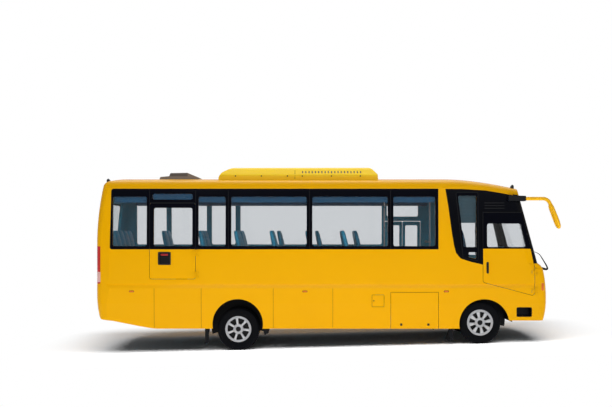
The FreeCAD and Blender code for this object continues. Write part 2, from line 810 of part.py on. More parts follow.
def door_hinges(levels, axis):
    """The moving halves, in the middle of each hinge."""
    return [hinge_knuckle(axis, z - HINGE_LEAF / 2, HINGE_LEAF, -60) for z in levels]


def wall_hinges(levels, axis):
    """The fixed halves, above and below each moving half."""
    halves = []
    for z in levels:
        halves.append(hinge_knuckle(axis, z + HINGE_LEAF / 2 + 1, HINGE_LEAF / 2, 60))
        halves.append(hinge_knuckle(axis, z - HINGE_LEAF - 1, HINGE_LEAF / 2, 60))
    return halves


def driver_glass_region():
    corners = [(DOOR_REAR_X, 1984), (DOOR_KNEE[0], 1984), (DOOR_TOP_X, DOOR_TOP_Z), (DOOR_REAR_X, DOOR_TOP_Z)]
    return side_prism(corners, -1400, 0).common(side_prism(DOOR, -1400, 0))


def driver_door_glass():
    return pane(driver_glass_region(), Vector(0, 1, 0))


def exit_glass_region():
    return side_prism(rectangle(*EXIT_X, SILL_Z, EXIT_Z[1]), -1400, 0).common(side_prism(EXIT_DOOR, -1400, 0))


def emergency_door():
    """Emergency door with its window and a recessed handle box below it."""
    door = shell(side_prism(EXIT_DOOR, -1400, 0))
    sight = rectangle(EXIT_X[0] + 80, EXIT_X[1] - 60, SILL_Z + FRAME_LOW, EXIT_Z[1] - 98, PANE_CORNER_R)
    pocket = block(*EXIT_BOX_X, -BELT_HALF - 50, -BELT_HALF + 30, *EXIT_BOX_Z)
    door = door.cut([emergency_door_glass(), side_prism(sight, -1400, 0), pocket])
    return fuse([door] + door_hinges(EXIT_HINGE_Z, exit_hinge()))


def emergency_door_glass():
    return pane(exit_glass_region(), Vector(0, 1, 0))


def exit_handle():
    """Black box set into the emergency door, with its pull lever."""
    x0, x1 = EXIT_BOX_X
    z0, z1 = EXIT_BOX_Z
    tray = block(x0, x1, -BELT_HALF - 4, -BELT_HALF + 30, z0, z1)
    tray = tray.cut(block(x0 + 22, x1 - 22, -BELT_HALF - 10, -BELT_HALF + 22, z0 + 22, z1 - 22))
    lever = block(x0 + 22, x1 - 22, -BELT_HALF + 2, -BELT_HALF + 12, (z0 + z1) / 2 - 20, (z0 + z1) / 2 + 20)
    return tray.fuse(lever)


def leaf_span(front):
    """Rear and front edge of a leaf; the rear one is short of its jamb, past which its edge swings."""
    if front:
        return ENTRY_MID_X + PANEL_GAP / 2, ENTRY_X[1]
    return ENTRY_X[0] + ENTRY_SWING_GAP, ENTRY_MID_X - PANEL_GAP / 2


def entry_leaf(front):
    """One leaf of the folding passenger door."""
    x0, x1 = leaf_span(front)
    leaf = shell(side_prism(rectangle(x0, x1, *ENTRY_Z, 25), 0, 1400), UNDER_LEAF)
    sight = rectangle(x0 + 62, x1 - 62, ENTRY_Z[0] + 150, ENTRY_Z[1] - 90, 30)
    return leaf.cut([entry_glass(front), side_prism(sight, 0, 1400)])


def entry_glass_region(front):
    x0, x1 = leaf_span(front)
    return side_prism(rectangle(x0 + 30, x1 - 30, CREASE_TOP_Z + 10, ENTRY_Z[1] - 50, 40), 0, 1400)


def entry_glass(front):
    return pane(entry_glass_region(front), Vector(0, -1, 0))


def luggage_flap():
    return shell(side_prism(rectangle(*BAY_X, SKIRT_Z, BAY_TOP_Z), -1400, 0)).cut(under_cut())


def fuel_flap():
    return shell(side_prism(rectangle(*FUEL_X, *FUEL_Z, 12), -1400, 0), UNDER_LEAF)


def boot_lid():
    return shell(front_prism(BOOT_LID, -5000, -4300), UNDER_LEAF)


def floor_deck():
    """Floor boards from wall to wall, and the steps behind the passenger door."""
    deck = CABIN.common(block(-5200, 5200, -1400, 1400, FLOOR_Z - FLOOR_T, FLOOR_Z))
    x0, x1 = ENTRY_X[0] - WELL_MARGIN, ENTRY_X[1] + WELL_MARGIN
    joints = [-5200, BOARD_JOINT_X, x0, x1, DOOR_REAR_X - 20, DOOR_FRONT_X + 20, 5200]
    cuts = [block(x0, x1, WELL_Y, 1400, FLOOR_Z - FLOOR_T, FLOOR_Z),
            block(joints[-3], joints[-2], -1400, -BELT_HALF + WALL + 12, FLOOR_Z - FLOOR_T, FLOOR_Z)]
    deck = deck.cut(cuts)
    boards = [deck.common(block(a, b, -1400, 1400, FLOOR_Z - FLOOR_T, FLOOR_Z))
              for a, b in zip(joints, joints[1:])]
    return group(boards + stepwell(x0, x1))


def stepwell(x0, x1):
    """Risers and treads from the door up to the floor, with cheeks at both ends."""
    top = FLOOR_Z - FLOOR_T
    rise = (top - ENTRY_Z[0] - WELL_FOOT) / STEPS
    tread = (SKIRT_HALF - WALL - WELL_SHEET - WELL_Y) / STEPS
    sheets = []
    for i in range(STEPS):
        y = WELL_Y + i * tread
        z = top - (i + 1) * rise
        upper = top if i == 0 else z + rise - WELL_SHEET
        sheets.append(block(x0, x1, y - WELL_SHEET, y, z - WELL_SHEET, upper))
        sheets.append(block(x0, x1, y, y + tread, z - WELL_SHEET, z))
    outer = WELL_Y + STEPS * tread
    low = top - STEPS * rise - WELL_SHEET
    cheek = [(WELL_Y - WELL_SHEET, top), (outer, top), (outer, low), (WELL_Y + (STEPS - 1) * tread, low)]
    sheets += [front_prism(cheek, x, x + WELL_SHEET) for x in (x0 - WELL_SHEET, x1)]
    return sheets


def rail(side):
    """One channel rail with its flanges turned inwards."""
    z0, z1 = RAIL_Z
    web = side * (RAIL_Y + RAIL_FLANGE / 2)
    inner = side * (RAIL_Y - RAIL_FLANGE / 2)
    back = web - side * RAIL_WEB
    channel = [(web, z0), (inner, z0), (inner, z0 + RAIL_WEB), (back, z0 + RAIL_WEB),
               (back, z1 - RAIL_WEB), (inner, z1 - RAIL_WEB), (inner, z1), (web, z1)]
    return front_prism(channel, *RAIL_X)


def chassis_frame():
    """Two channel rails, cross members, and floor bearers on uprights, each member a solid."""
    z0, z1 = RAIL_Z
    top = FLOOR_Z - FLOOR_T
    reach = RAIL_Y + RAIL_FLANGE / 2 - RAIL_WEB
    half = SKIRT_HALF - WALL - BEARER_SHORT
    pieces = [block(x - 40, x + 40, -reach, reach, *CROSS_Z) for x in CROSS_X]
    bearers = [block(x, x + BEARER, -half, half, top - BEARER, top) for x in BEARERS_X]
    pieces += bearers
    for side in (-1, 1):
        y = side * RAIL_Y - BEARER / 2
        pieces.append(rail(side))
        for x in BEARERS_X:
            if x > RAIL_X[0]:
                pieces.append(block(x, x + BEARER, y, y + BEARER, z1, top - BEARER))
        tail_rail = block(BEARERS_X[0], RAIL_X[0] + 2 * BEARER, y, y + BEARER, top - BEARER, top)
        pieces.append(tail_rail.cut(bearers))
        pieces.append(block(RAIL_X[0], RAIL_X[0] + BEARER, y, y + BEARER, z1, top - BEARER))
        pieces += spring_hangers(side, z0)
        pieces.append(tow_plate(side))
    return group(pieces)


def tow_plate(side):
    """Plate under a rail's front end, with the bore for a shackle pin."""
    z = RAIL_Z[0]
    span = sorted((side * (RAIL_Y - RAIL_FLANGE / 2), side * (RAIL_Y + RAIL_FLANGE / 2)))
    plate = block(RAIL_X[1] - 60, TOW_EYE_X + 40, *span, z - TOW_PLATE_T, z)
    return plate.cut(Part.makeCylinder(TOW_EYE_R, 3 * TOW_PLATE_T,
                                       Vector(TOW_EYE_X, side * RAIL_Y, z - 2 * TOW_PLATE_T)))


def body_place(x, z):
    """A ground point seen from the level body."""
    turn = math.radians(RAKE)
    return x * math.cos(turn) - z * math.sin(turn), x * math.sin(turn) + z * math.cos(turn)


# Springs


def spring_seat(end):
    """Body-frame point under the middle of a spring, on top of its axle."""
    if end == "front":
        x, z = body_place(FRONT_AXLE_X, TYRE_R)
        return x, z - BEAM_DROP + BEAM_H / 2 + BEAM_W / 2 * math.sin(math.radians(RAKE))
    x, z = body_place(REAR_AXLE_X, TYRE_R)
    return x, z + AXLE_R


def spring_eyes():
    eyes = []
    for end in ("front", "rear"):
        x, z = spring_seat(end)
        rise = SPRING_SAG[end] + SPRING_LEAVES * SPRING_LEAF_T
        for way in (-1, 1):
            eyes.append((x + way * SPRING_HALF[end], z + rise))
    return eyes


def spring_hangers(side, top):
    """Under one rail, a plate with two bored cheeks round each spring end."""
    pieces = []
    reach = SPRING_W / 2 + RUNNING
    for x, eye_z in spring_eyes():
        pieces.append(block(x - HANGER_HALF, x + HANGER_HALF, side * RAIL_Y - reach - CHEEK_T,
                            side * RAIL_Y + reach + CHEEK_T, top - CHEEK_T, top))
        for edge in (-reach - CHEEK_T, reach):
            y = side * RAIL_Y + edge
            cheek = block(x - HANGER_HALF, x + HANGER_HALF, y, y + CHEEK_T, HANGER_Z, top - CHEEK_T)
            pin = bar(Vector(x, y - CHEEK_T, eye_z), Vector(x, y + 2 * CHEEK_T, eye_z), EYE_PIN_R + RUNNING)
            pieces.append(cheek.cut(pin))
    return pieces


def leaf_springs():
    """Four packs of curved leaves, each leaf shorter than the one above it."""
    packs = []
    for end in ("front", "rear"):
        x0, z0 = spring_seat(end)
        sag, half = SPRING_SAG[end], SPRING_HALF[end]
        radius = (half ** 2 + sag ** 2) / (2 * sag)
        top = z0 + SPRING_LEAVES * SPRING_LEAF_T
        leaves = []
        for i in range(SPRING_LEAVES):
            span = math.asin(half / radius) * (1 - 0.2 * i)
            r0 = radius + i * SPRING_LEAF_T
            r1 = r0 + SPRING_LEAF_T
            points = []
            for r, angles in ((r0, (-span, 0, span)), (r1, (span, 0, -span))):
                points.append([Vector(x0 + r * math.sin(a), 0, top + radius - r * math.cos(a))
                               for a in angles])
            upper, lower = points
            wire = Part.Wire([Part.Arc(*upper).toShape(), Part.makeLine(upper[2], lower[0]),
                              Part.Arc(*lower).toShape(), Part.makeLine(lower[2], upper[0])])
            leaves.append(Part.Face(wire).extrude(Vector(0, SPRING_W, 0)))
        for way in (-1, 1):
            centre = Vector(x0 + way * half, 0, top + sag)
            leaves.append(Part.makeCylinder(EYE_R, SPRING_W, centre, Vector(0, 1, 0)))
            leaves.append(Part.makeCylinder(EYE_PIN_R, SPRING_W + 2 * EYE_PIN_REACH,
                                            centre - Vector(0, EYE_PIN_REACH, 0), Vector(0, 1, 0)))
        pack = fuse(leaves)
        for side in (-1, 1):
            copy = pack.copy()
            copy.translate(Vector(0, side * RAIL_Y - SPRING_W / 2, 0))
            packs.append(copy)
    return group(packs)


def front_axle_beam():
    """Dropped beam with kingpin bosses, in the ground frame."""
    x = FRONT_AXLE_X
    z = TYRE_R - BEAM_DROP
    king = TRACK_HALF - KINGPIN_INSET
    h = BEAM_H / 2
    path = [(-king + 30, TYRE_R - h), (-king + 30, TYRE_R + h), (-king + 110, TYRE_R + h), (-610, z + h),
            (610, z + h), (king - 110, TYRE_R + h), (king - 30, TYRE_R + h), (king - 30, TYRE_R - h),
            (king - 110, TYRE_R - h), (600, z - h), (-600, z - h), (-king + 110, TYRE_R - h)]
    beam = front_prism(path, x - BEAM_W / 2, x + BEAM_W / 2)
    bosses = [Part.makeCylinder(40, 120, Vector(x, side * king, TYRE_R - 60)) for side in (-1, 1)]
    bores = [Part.makeCylinder(KINGPIN_R + RUNNING, 200, Vector(x, side * king, TYRE_R - 100))
             for side in (-1, 1)]
    return fuse([beam] + bosses).cut(bores)


def rear_axle():
    """Axle tube with the differential housing and the spindles that carry the twin wheels."""
    x = REAR_AXLE_X
    tube = bar(Vector(x, -560, TYRE_R), Vector(x, 560, TYRE_R), AXLE_R)
    spindle = bar(Vector(x, -TRACK_HALF - 60, TYRE_R), Vector(x, TRACK_HALF + 60, TYRE_R), SPINDLE_R + 10)
    housing = Part.makeSphere(175, Vector(x, 0, TYRE_R))
    housing = housing.common(block(x - 175, x + 150, -140, 140, TYRE_R - 175, TYRE_R + 175))
    nose = bar(Vector(x + 100, 0, TYRE_R), Vector(x + NOSE[0], 0, TYRE_R + NOSE[1]), 60)
    return fuse([tube, spindle, housing, nose])


def shaft_runs():
    """Centre line of the propeller shaft, gearbox to axle, in the body frame."""
    x, z = body_place(REAR_AXLE_X + NOSE[0], TYRE_R + NOSE[1])
    middle = Vector(500, 0, 640)
    rear = Vector(x, 0, z)
    ahead = (middle - rear).normalize()
    return [(rear + ahead * RUNNING, middle), (middle, Vector(GEARBOX_X + 20, 0, 720))]


def drive_shaft():
    """Two-piece shaft with a centre bearing hung from a cross member."""
    pieces = [bar(a, b, SHAFT_R) for a, b in shaft_runs()]
    pieces.append(Part.makeSphere(SHAFT_R + 12, shaft_runs()[0][1]))
    pieces.append(block(470, 530, -70, 70, 600, CROSS_Z[0]))
    return fuse(pieces).cut(engine())


def engine():
    """Engine and gearbox as one plain block between the rails."""
    motor = block(3250, 4080, -290, 290, 650, 1060)
    gearbox = block(GEARBOX_X, 3250, -160, 160, 620, 960)
    return fuse([motor, gearbox]).cut([block(3300 - 5, 3300 + BEARER + 5, -1400, 1400, 1025, 1100)])


def rounded_path(points, radii):
    """Open path of straight runs joined by arcs."""
    edges = []
    last = points[0]
    for i in range(1, len(points) - 1):
        before = points[i - 1] - points[i]
        after = points[i + 1] - points[i]
        before.normalize()
        after.normalize()
        half = before.getAngle(after) / 2
        reach = radii[i - 1] / math.tan(half)
        middle = before + after
        middle.normalize()
        start = points[i] + before * reach
        bend = points[i] + middle * (radii[i - 1] / math.sin(half) - radii[i - 1])
        end = points[i] + after * reach
        edges.append(Part.makeLine(last, start))
        edges.append(Part.Arc(start, bend, end).toShape())
        last = end
    edges.append(Part.makeLine(last, points[-1]))
    return Part.Wire(edges)


def pipe_along(path, radius):
    """Round pipe that follows a path."""
    start = path.Edges[0].Vertexes[0].Point
    ahead = path.Edges[0].tangentAt(path.Edges[0].FirstParameter)
    ring = Part.Wire([Part.makeCircle(radius, start, ahead)])
    return path.makePipeShell([ring], True, True)


def exhaust():
    """Pipe along the left rail over the rear axle, with its silencer."""
    points = [Vector(x, EXHAUST_Y, z) for x, z in EXHAUST_ROUTE]
    pipe = pipe_along(rounded_path(points, EXHAUST_BENDS), EXHAUST_R)
    y = EXHAUST_Y + SILENCER_R - EXHAUST_R
    silencer = bar(Vector(SILENCER_X[0], y, SILENCER_Z), Vector(SILENCER_X[1], y, SILENCER_Z), SILENCER_R)
    hangers = [block(x, x + 30, RAIL_Y + RAIL_FLANGE / 2, EXHAUST_Y + 25, z, 760)
               for x, z in ((600, 560), (-2000, 640), (-3350, 560))]
    return fuse([pipe, silencer] + hangers)


def fuel_tank():
    """Tank beside the right rail, with the filler neck up to the flap."""
    corners = [(-1090, 520, 60), (-520, 520, 60), (-520, 900, 60), (-1090, 900, 60)]
    tank = front_prism(corners, 150, 860)
    neck = bar(Vector(800, -1000, 860), Vector(1006, -1060, 945), 32)
    cap = bar(Vector(1006, -1060, 945), Vector(1006, -1096, 945), 48)
    straps = [block(x, x + 40, -520, -RAIL_Y - RAIL_FLANGE / 2, 760, 820) for x in (260, 720)]
    return fuse([tank, neck, cap] + straps)


def luggage_bays():
    """Sheet liners of the side bay and of the rear boot."""
    liners = []
    x0, x1 = BAY_X
    y1 = -RAIL_Y - RAIL_FLANGE / 2 - 30
    outer = block(x0, x1, -SKIRT_HALF + WALL + 12, y1, SKIRT_Z + 20, FLOOR_Z - FLOOR_T)
    inner = block(x0 + 20, x1 - 20, -1400, y1 - 20, SKIRT_Z + 40, FLOOR_Z - FLOOR_T - 20)
    liners.append(outer.cut(inner))
    half = BOOT_HALF - 20
    low, high = BOOT_Z[0] + 10, FLOOR_Z - FLOOR_T - BEARER
    region = block(-5000, RAIL_X[0] - 60, -half, half, low, high)
    tub = CABIN.common(region)
    tub = tub.cut(block(-5000, RAIL_X[0] - 80, -half + 20, half - 20, low + 20, high - 20))
    liners.append(tub)
    return group(liners)


def mudflaps():
    """Rubber flaps behind all four wheels, each on an arm from its rail."""
    flaps = []
    for side in (-1, 1):
        for x, lean, low in ((2500, -80, 134), (-2376, -76, 84)):
            corners = [(x, 690), (x - 8, 690), (x - 8, 384), (x - 8 + lean, low), (x + lean, low), (x, 384)]
            span = sorted((side * 770, side * (SKIRT_HALF - WALL - 6)))
            flap = side_prism(corners, *span)
            arm_span = sorted((side * (RAIL_Y + RAIL_FLANGE / 2), side * (SKIRT_HALF - WALL - 6)))
            arm = block(x - 38, x - 8, arm_span[0], arm_span[1], 700, 730)
            plate = block(x - 38, x, span[0], span[1], 690, 730)
            flaps.append(fuse([flap, arm, plate]))
    return group(flaps)


def air_conditioner():
    """Roof unit: low pod with sloping ends and rounded shoulders, seated on the roof's camber."""
    x0, x1 = POD_X
    side = [(x0, 3330), (x0 + 4, 3440), (x0 + 60, 3540, 120), (x0 + 260, POD_TOP_Z - 8, 200),
            (x1 - 150, POD_TOP_Z, 120), (x1 - 14, 3500, 60), (x1, 3330)]
    front = [(-POD_HALF, 3330), (-POD_HALF, 3480, 60), (-POD_HALF + 200, POD_TOP_Z, 220),
             (POD_HALF - 200, POD_TOP_Z, 220), (POD_HALF, 3480, 60), (POD_HALF, 3330)]
    pod = side_prism(side, -900, 900).common(front_prism(front, x0 - 10, x1 + 10))
    return pod.cut(OUTER)


def roof_hatch():
    """Roof ventilator on its raised frame, with a low dark cap."""
    x0, x1 = HATCH_X
    side = [(x0, 3400), (x0 + 20, 3470, 20), (x0 + 210, 3486, 30), (x0 + 235, 3550, 20), (x1 - 250, 3556, 40),
            (x1, 3452), (x1, 3400)]
    return side_prism(side, -HATCH_HALF, HATCH_HALF).cut(OUTER)


def mirror_roots():
    """Sleeve at each top corner of the cab that takes a mirror arm."""
    roots = []
    for side in (-1, 1):
        span = sorted((side * (CANTRAIL_HALF - 30), side * (CANTRAIL_HALF + MIRROR_OUT + 40)))
        sleeve = side_prism([(3582, 2940, 20), (3600, 3046, 25), (MIRROR_ROOT_X, 3036, 20),
                             (MIRROR_ROOT_X, 2930, 20)], *span)
        roots.append(sleeve.cut(OUTER))
    return group(roots)


def oval(x, y, z, along, across, tilt):
    """Flat oval ring about a point of the mirror head, square to the way the head hangs."""
    ring = Part.Ellipse(Vector(0, 0, 0), max(along, across), min(along, across)).toShape()
    if across > along:
        ring.rotate(Vector(0, 0, 0), Vector(0, 0, 1), 90)
    ring.rotate(Vector(0, 0, 0), Vector(0, 1, 0), tilt)
    ring.translate(Vector(x, y, z))
    return Part.Wire([ring])


def mirrors():
    """Round arms that reach forward and bend down into tapered, rounded mirror heads."""
    pieces = []
    for side in (-1, 1):
        y = side * (CANTRAIL_HALF + MIRROR_OUT)
        start = Vector(MIRROR_ROOT_X, y, MIRROR_Z)
        path = rounded_path([start, Vector(MIRROR_BEND[0], y, MIRROR_Z), Vector(MIRROR_BEND[1], y, 2680)],
                            [MIRROR_BEND_R])
        arm = pipe_along(path, MIRROR_ARM_R)
        rings = [oval(x, y, z, along, across, MIRROR_TILT) for x, z, along, across in MIRROR_HEAD]
        head = Part.makeLoft(rings, True, False)
        pieces.append(fuse([arm, head]))
    return group(pieces)


def seat_places():
    """Front edge and width span of each double seat and of the rear bench."""
    wall = BELT_HALF - WALL - SEAT_WALL_GAP
    places = [(x, -wall, -wall + SEAT_W) for x in RIGHT_FRONTS]
    places += [(x, wall - SEAT_W, wall) for x in LEFT_FRONTS]
    places.append((BENCH_FRONT, -wall + BENCH_END_GAP, wall - BENCH_END_GAP))
    return places


def seat_frames():
    """Pressed seat pans, each on two posts with floor feet."""
    frames = []
    low = CUSHION_Z[0] - PAN_T
    for x, y0, y1 in seat_places():
        frames.append(block(x - CUSHION_D - BACK_T, x - 20, y0 + 20, y1 - 20, low, CUSHION_Z[0]))
        for y in (y0 + 120, y1 - 160):
            frames.append(block(x - 420, x - 120, y, y + LEG_W, FLOOR_Z, FLOOR_Z + FOOT_T))
            frames.append(side_prism([(x - 330, FLOOR_Z + FOOT_T), (x - 200, FLOOR_Z + FOOT_T),
                                      (x - 160, low), (x - 360, low)], y, y + LEG_W))
    return group(frames)


def seat_cushions():
    """One padded cushion per place."""
    cushions = []
    for x, y0, y1 in seat_places():
        count = round((y1 - y0) / (SEAT_W / 2))
        width = (y1 - y0) / count
        for i in range(count):
            y = y0 + i * width
            cushions.append(side_prism([(x - CUSHION_D + 4, CUSHION_Z[0]), (x - 10, CUSHION_Z[0], 20),
                                        (x, CUSHION_Z[1], 40), (x - CUSHION_D + 4, CUSHION_Z[1] - 12)],
                                       y + 5, y + width - 5))
    return group(cushions)


def seat_backs():
    """One leaning backrest per place."""
    backs = []
    z0 = CUSHION_Z[0]
    for x, y0, y1 in seat_places():
        count = round((y1 - y0) / (SEAT_W / 2))
        width = (y1 - y0) / count
        foot = x - CUSHION_D
        for i in range(count):
            y = y0 + i * width
            backs.append(side_prism([(foot, z0), (foot - BACK_LEAN + 10, BACK_TOP_Z - 60, 200),
                                     (foot - BACK_LEAN - 20, BACK_TOP_Z, 40),
                                     (foot - BACK_LEAN - BACK_T - 20, BACK_TOP_Z - 20, 40),
                                     (foot - BACK_T, z0)], y + 5, y + width - 5))
    return group(backs)


def luggage_racks():
    """Open racks with an air duct along both walls, above the windows."""
    racks = []
    for side in (-1, 1):
        wall = CANTRAIL_HALF + 30
        corners = [(side * wall, 2905), (side * 860, 2925), (side * 840, 2985), (side * 856, 2985),
                   (side * 874, 2947), (side * 980, 2937), (side * 1000, 3110), (side * wall, 3110)]
        racks.append(front_prism(corners, *RACK_X).common(CABIN))
    return group(racks)


def dashboard():
    """Dash across the cab under the screen."""
    corners = [(3960, 1450), (3890, 1560, 30), (3960, 1690, 60), (4500, 1700), (4500, 1450)]
    dash = side_prism(corners, -DASH_HALF, DASH_HALF).common(CABIN)
    return dash.cut(bar(*column_line(), COLUMN_R))


def wheel_axis():
    turn = math.radians(WHEEL_TILT)
    return Vector(-math.sin(turn), 0, math.cos(turn))


def column_line():
    axis = wheel_axis()
    return WHEEL_CENTRE - axis * 40, WHEEL_CENTRE - axis * 640


def steering_column():
    """Column from under the wheel into the dash, with its bracket."""
    start, end = column_line()
    return bar(start, end, COLUMN_R)


def steering_wheel():
    """Rim, hub and three spokes, in the column's own direction."""
    rim = Part.makeTorus(WHEEL_R, 15, Vector(0, 0, 0), Vector(0, 0, 1))
    hub = Part.makeCylinder(55, 50, Vector(0, 0, -38))
    spokes = []
    for angle in (90, 210, 330):
        spoke = block(0, WHEEL_R, -20, 20, -10, 2)
        spoke.rotate(Vector(0, 0, 0), Vector(0, 0, 1), angle)
        spokes.append(spoke)
    wheel = fuse([rim, hub] + spokes)
    wheel.rotate(Vector(0, 0, 0), Vector(0, 1, 0), -WHEEL_TILT)
    wheel.translate(WHEEL_CENTRE)
    return wheel


def driver_seat():
    """Driver's seat on its pedestal."""
    y0, y1 = -850, -350
    base = block(2960, 3300, y0 + 60, y1 - 60, FLOOR_Z, 1520)
    cushion = side_prism([(2900, 1520), (3400, 1520, 30), (3400, 1640, 50), (2900, 1620)], y0, y1)
    back = side_prism([(2895, 1520), (2760, 2400, 40), (2660, 2400, 40), (2780, 1520)], y0, y1)
    return group([base, cushion, back])


def screen_point(y, z, off):
    """A point in front of the screen plane by an offset along X."""
    sweep = math.radians(FRONT_SWEEP)
    join_y = CANTRAIL_HALF - FRONT_CORNER_R * (math.sin(math.radians(FACE_FLARE)) - math.sin(sweep))
    radius = join_y / math.sin(sweep)
    bulge = math.sqrt(radius ** 2 - y ** 2) - radius * math.cos(sweep)
    x = SCREEN_LOW[0] - (z - SCREEN_LOW[1]) * math.tan(math.radians(SCREEN_LEAN))
    return Vector(x + bulge + off, y, z)


def wipers():
    """Two wipers at rest, leaning along the bottom of the screen."""
    arms = []
    for y in WIPER_PIVOTS_Y:
        foot = screen_point(y, SCREEN_LOW[1] - 20, 30)
        bend = screen_point(y + 40, SCREEN_LOW[1] + 60, 34)
        tip = screen_point(y + WIPER_REACH, SCREEN_LOW[1] + 180, 34)
        blade_end = screen_point(y + WIPER_REACH - 460, SCREEN_LOW[1] + 60, 16)
        blade_tip = screen_point(y + WIPER_REACH + 60, SCREEN_LOW[1] + 190, 16)
        spindle = bar(foot - Vector(50, 0, 50), foot, 16)
        pieces = [spindle, bar(foot, bend, 9), bar(bend, tip, 8), bar(blade_end, blade_tip, 8),
                  bar(tip, (blade_end + blade_tip) / 2 + Vector(4, 0, 0), 7), Part.makeSphere(18, foot)]
        arms.append(fuse(pieces).cut(OUTER))
    return group(arms)


# Wheels


def tyre(x, y):
    """One tyre: tread, shoulders and bulged walls, open to the rim."""
    half = TYRE_W / 2
    corners = [(RIM_R, -half + 30), (RIM_R + 30, -half + 8, 20), (TYRE_R - 90, -half, 60),
               (TYRE_R - 14, -half + 14, 30), (TYRE_R, -half + 50), (TYRE_R, half - 50),
               (TYRE_R - 14, half - 14, 30), (TYRE_R - 90, half, 60), (RIM_R + 30, half - 8, 20),
               (RIM_R, half - 30)]
    solid = revolve_profile(corners)
    solid.translate(Vector(x, y, TYRE_R))
    return solid


def revolve_profile(corners):
    """Radius-and-depth outline turned about the wheel's axle."""
    wire = outline(corners, lambda u, v: Vector(u, v, 0))
    return Part.Face(wire).revolve(Vector(0, 0, 0), Vector(0, 1, 0), 360)


def rim(y):
    """Rim barrel with its bead seats and flanges."""
    half = TYRE_W / 2 - 30
    ring = revolve_profile([(RIM_R - 14, -half), (RIM_R, -half), (RIM_R, half), (RIM_R - 14, half)])
    ring.translate(Vector(0, y, 0))
    return ring


def wheel_cover(side, y, spokes, first, spoke_w):
    """Dished cover: outer ring, spokes and hub disc, with the windows between the spokes cut."""
    cover = revolve_profile([(0, -20), (HUB_R, -20), (RIM_R - 14, -8), (RIM_R - 2, -8), (COVER_R, 1.5),
                             (COVER_R, 6), (RIM_R - 14, 8), (HUB_R, -6), (0, 10)])
    windows = []
    step = 360.0 / spokes
    for i in range(spokes):
        angle = first + (i + 0.5) * step
        inner = HUB_R + 14
        outer = RIM_R - 34
        inner_half = inner * math.sin(math.radians(step / 2)) - spoke_w / 2
        outer_half = outer * math.sin(math.radians(step / 2)) - spoke_w / 2
        corners = [(inner, -inner_half, 6), (outer, -outer_half, 24), (outer, outer_half, 24),
                   (inner, inner_half, 6)]
        window = Part.Face(outline(corners, side_point)).extrude(Vector(0, 200, 0))
        window.translate(Vector(0, -100, 0))
        window.rotate(Vector(0, 0, 0), Vector(0, 1, 0), -angle)
        windows.append(window)
    cover = cover.cut(windows)
    if side < 0:
        cover = cover.mirror(Vector(0, 0, 0), Vector(0, 1, 0))
    cover.translate(Vector(0, side * y, 0))
    return cover


def front_wheel(side):
    """Single wheel: rim, dished disc on its hub, and the cover over both."""
    disc = revolve_profile([(SPINDLE_R + RUNNING, -50), (HUB_R, -50), (HUB_R + 10, 10), (RIM_R - 40, 20),
                            (RIM_R - 14, 0), (RIM_R - 14, 20), (RIM_R - 44, 40), (HUB_R - 10, 30),
                            (SPINDLE_R + RUNNING, 30)])
    if side < 0:
        disc = disc.mirror(Vector(0, 0, 0), Vector(0, 1, 0))
    cover = wheel_cover(side, TYRE_W / 2 - 22, 8, 9.0, 40.0)
    sleeve = revolve_profile([(RIM_R - 26, side * 15), (RIM_R - 14, side * 15), (RIM_R - 14, side * 94),
                              (RIM_R - 26, side * 94)])
    wheel = fuse([rim(0), disc, cover, sleeve])
    wheel.translate(Vector(FRONT_AXLE_X, side * TRACK_HALF, TYRE_R))
    return wheel


def rear_wheels(side):
    """Twin wheels on one hub, with the cover over the outer one."""
    hub_r = SPINDLE_R + 10 + RUNNING
    span = TWIN_SPACING
    hub = revolve_profile([(hub_r, -span - 20), (HUB_R + 20, -span - 20), (HUB_R + 20, 40), (hub_r, 40)])
    discs = [hub]
    for depth in (-10, -span + 10):
        discs.append(revolve_profile([(HUB_R, depth), (RIM_R - 10, depth), (RIM_R - 10, depth + 14),
                                      (HUB_R, depth + 14)]))
    pieces = discs
    if side < 0:
        pieces = [piece.mirror(Vector(0, 0, 0), Vector(0, 1, 0)) for piece in discs]
    cover = wheel_cover(side, TYRE_W / 2 - 22, 7, 96.0, 26.0)
    sleeve = revolve_profile([(RIM_R - 26, side * 0), (RIM_R - 14, side * 0), (RIM_R - 14, side * 94),
                              (RIM_R - 26, side * 94)])
    wheel = fuse(pieces + [rim(0), rim(-side * span), cover, sleeve])
    wheel.translate(Vector(REAR_AXLE_X, side * TRACK_HALF, TYRE_R))
    return wheel


def knuckle(side):
    """Fork over the beam's boss with its kingpin, stub axle and backward steering arm."""
    x, king = FRONT_AXLE_X, side * (TRACK_HALF - KINGPIN_INSET)
    z = TYRE_R
    pieces = [Part.makeCylinder(KINGPIN_R, 190, Vector(x, king, z - 95))]
    for low in (z - 95, z + 65):
        pieces.append(Part.makeCylinder(40, 30, Vector(x, king, low)))
        span = sorted((king, king + side * 80))
        pieces.append(block(x - 40, x + 40, span[0], span[1], low, low + 30))
    span = sorted((king + side * 50, king + side * 80))
    pieces.append(block(x - 40, x + 40, span[0], span[1], z - 95, z + 95))
    pieces.append(bar(Vector(x, king + side * 60, z), Vector(x, side * (TRACK_HALF + 28), z), SPINDLE_R))
    pieces.append(block(x - ARM_LENGTH, x, king - 18, king + 18, z - 95, z - 70))
    pieces.append(Part.makeCylinder(26, z - 70 - ARM_Z, Vector(x - ARM_LENGTH, king, ARM_Z)))
    pieces.append(Part.makeCylinder(11, 60, Vector(x - ARM_LENGTH, king, ARM_Z - 60)))
    return fuse(pieces)


def tie_rod():
    """Rod between the two steering arms, with an eye round each arm's pin."""
    x = FRONT_AXLE_X - ARM_LENGTH
    king = TRACK_HALF - KINGPIN_INSET
    z = ARM_Z - 30
    rod = bar(Vector(x, -king, z), Vector(x, king, z), TIE_ROD_R)
    eyes = [Part.makeCylinder(26, 36, Vector(x, side * king, z - 18)) for side in (-1, 1)]
    bores = [Part.makeCylinder(11 + RUNNING, 80, Vector(x, side * king, z - 40)) for side in (-1, 1)]
    return fuse([rod] + eyes).cut(bores)


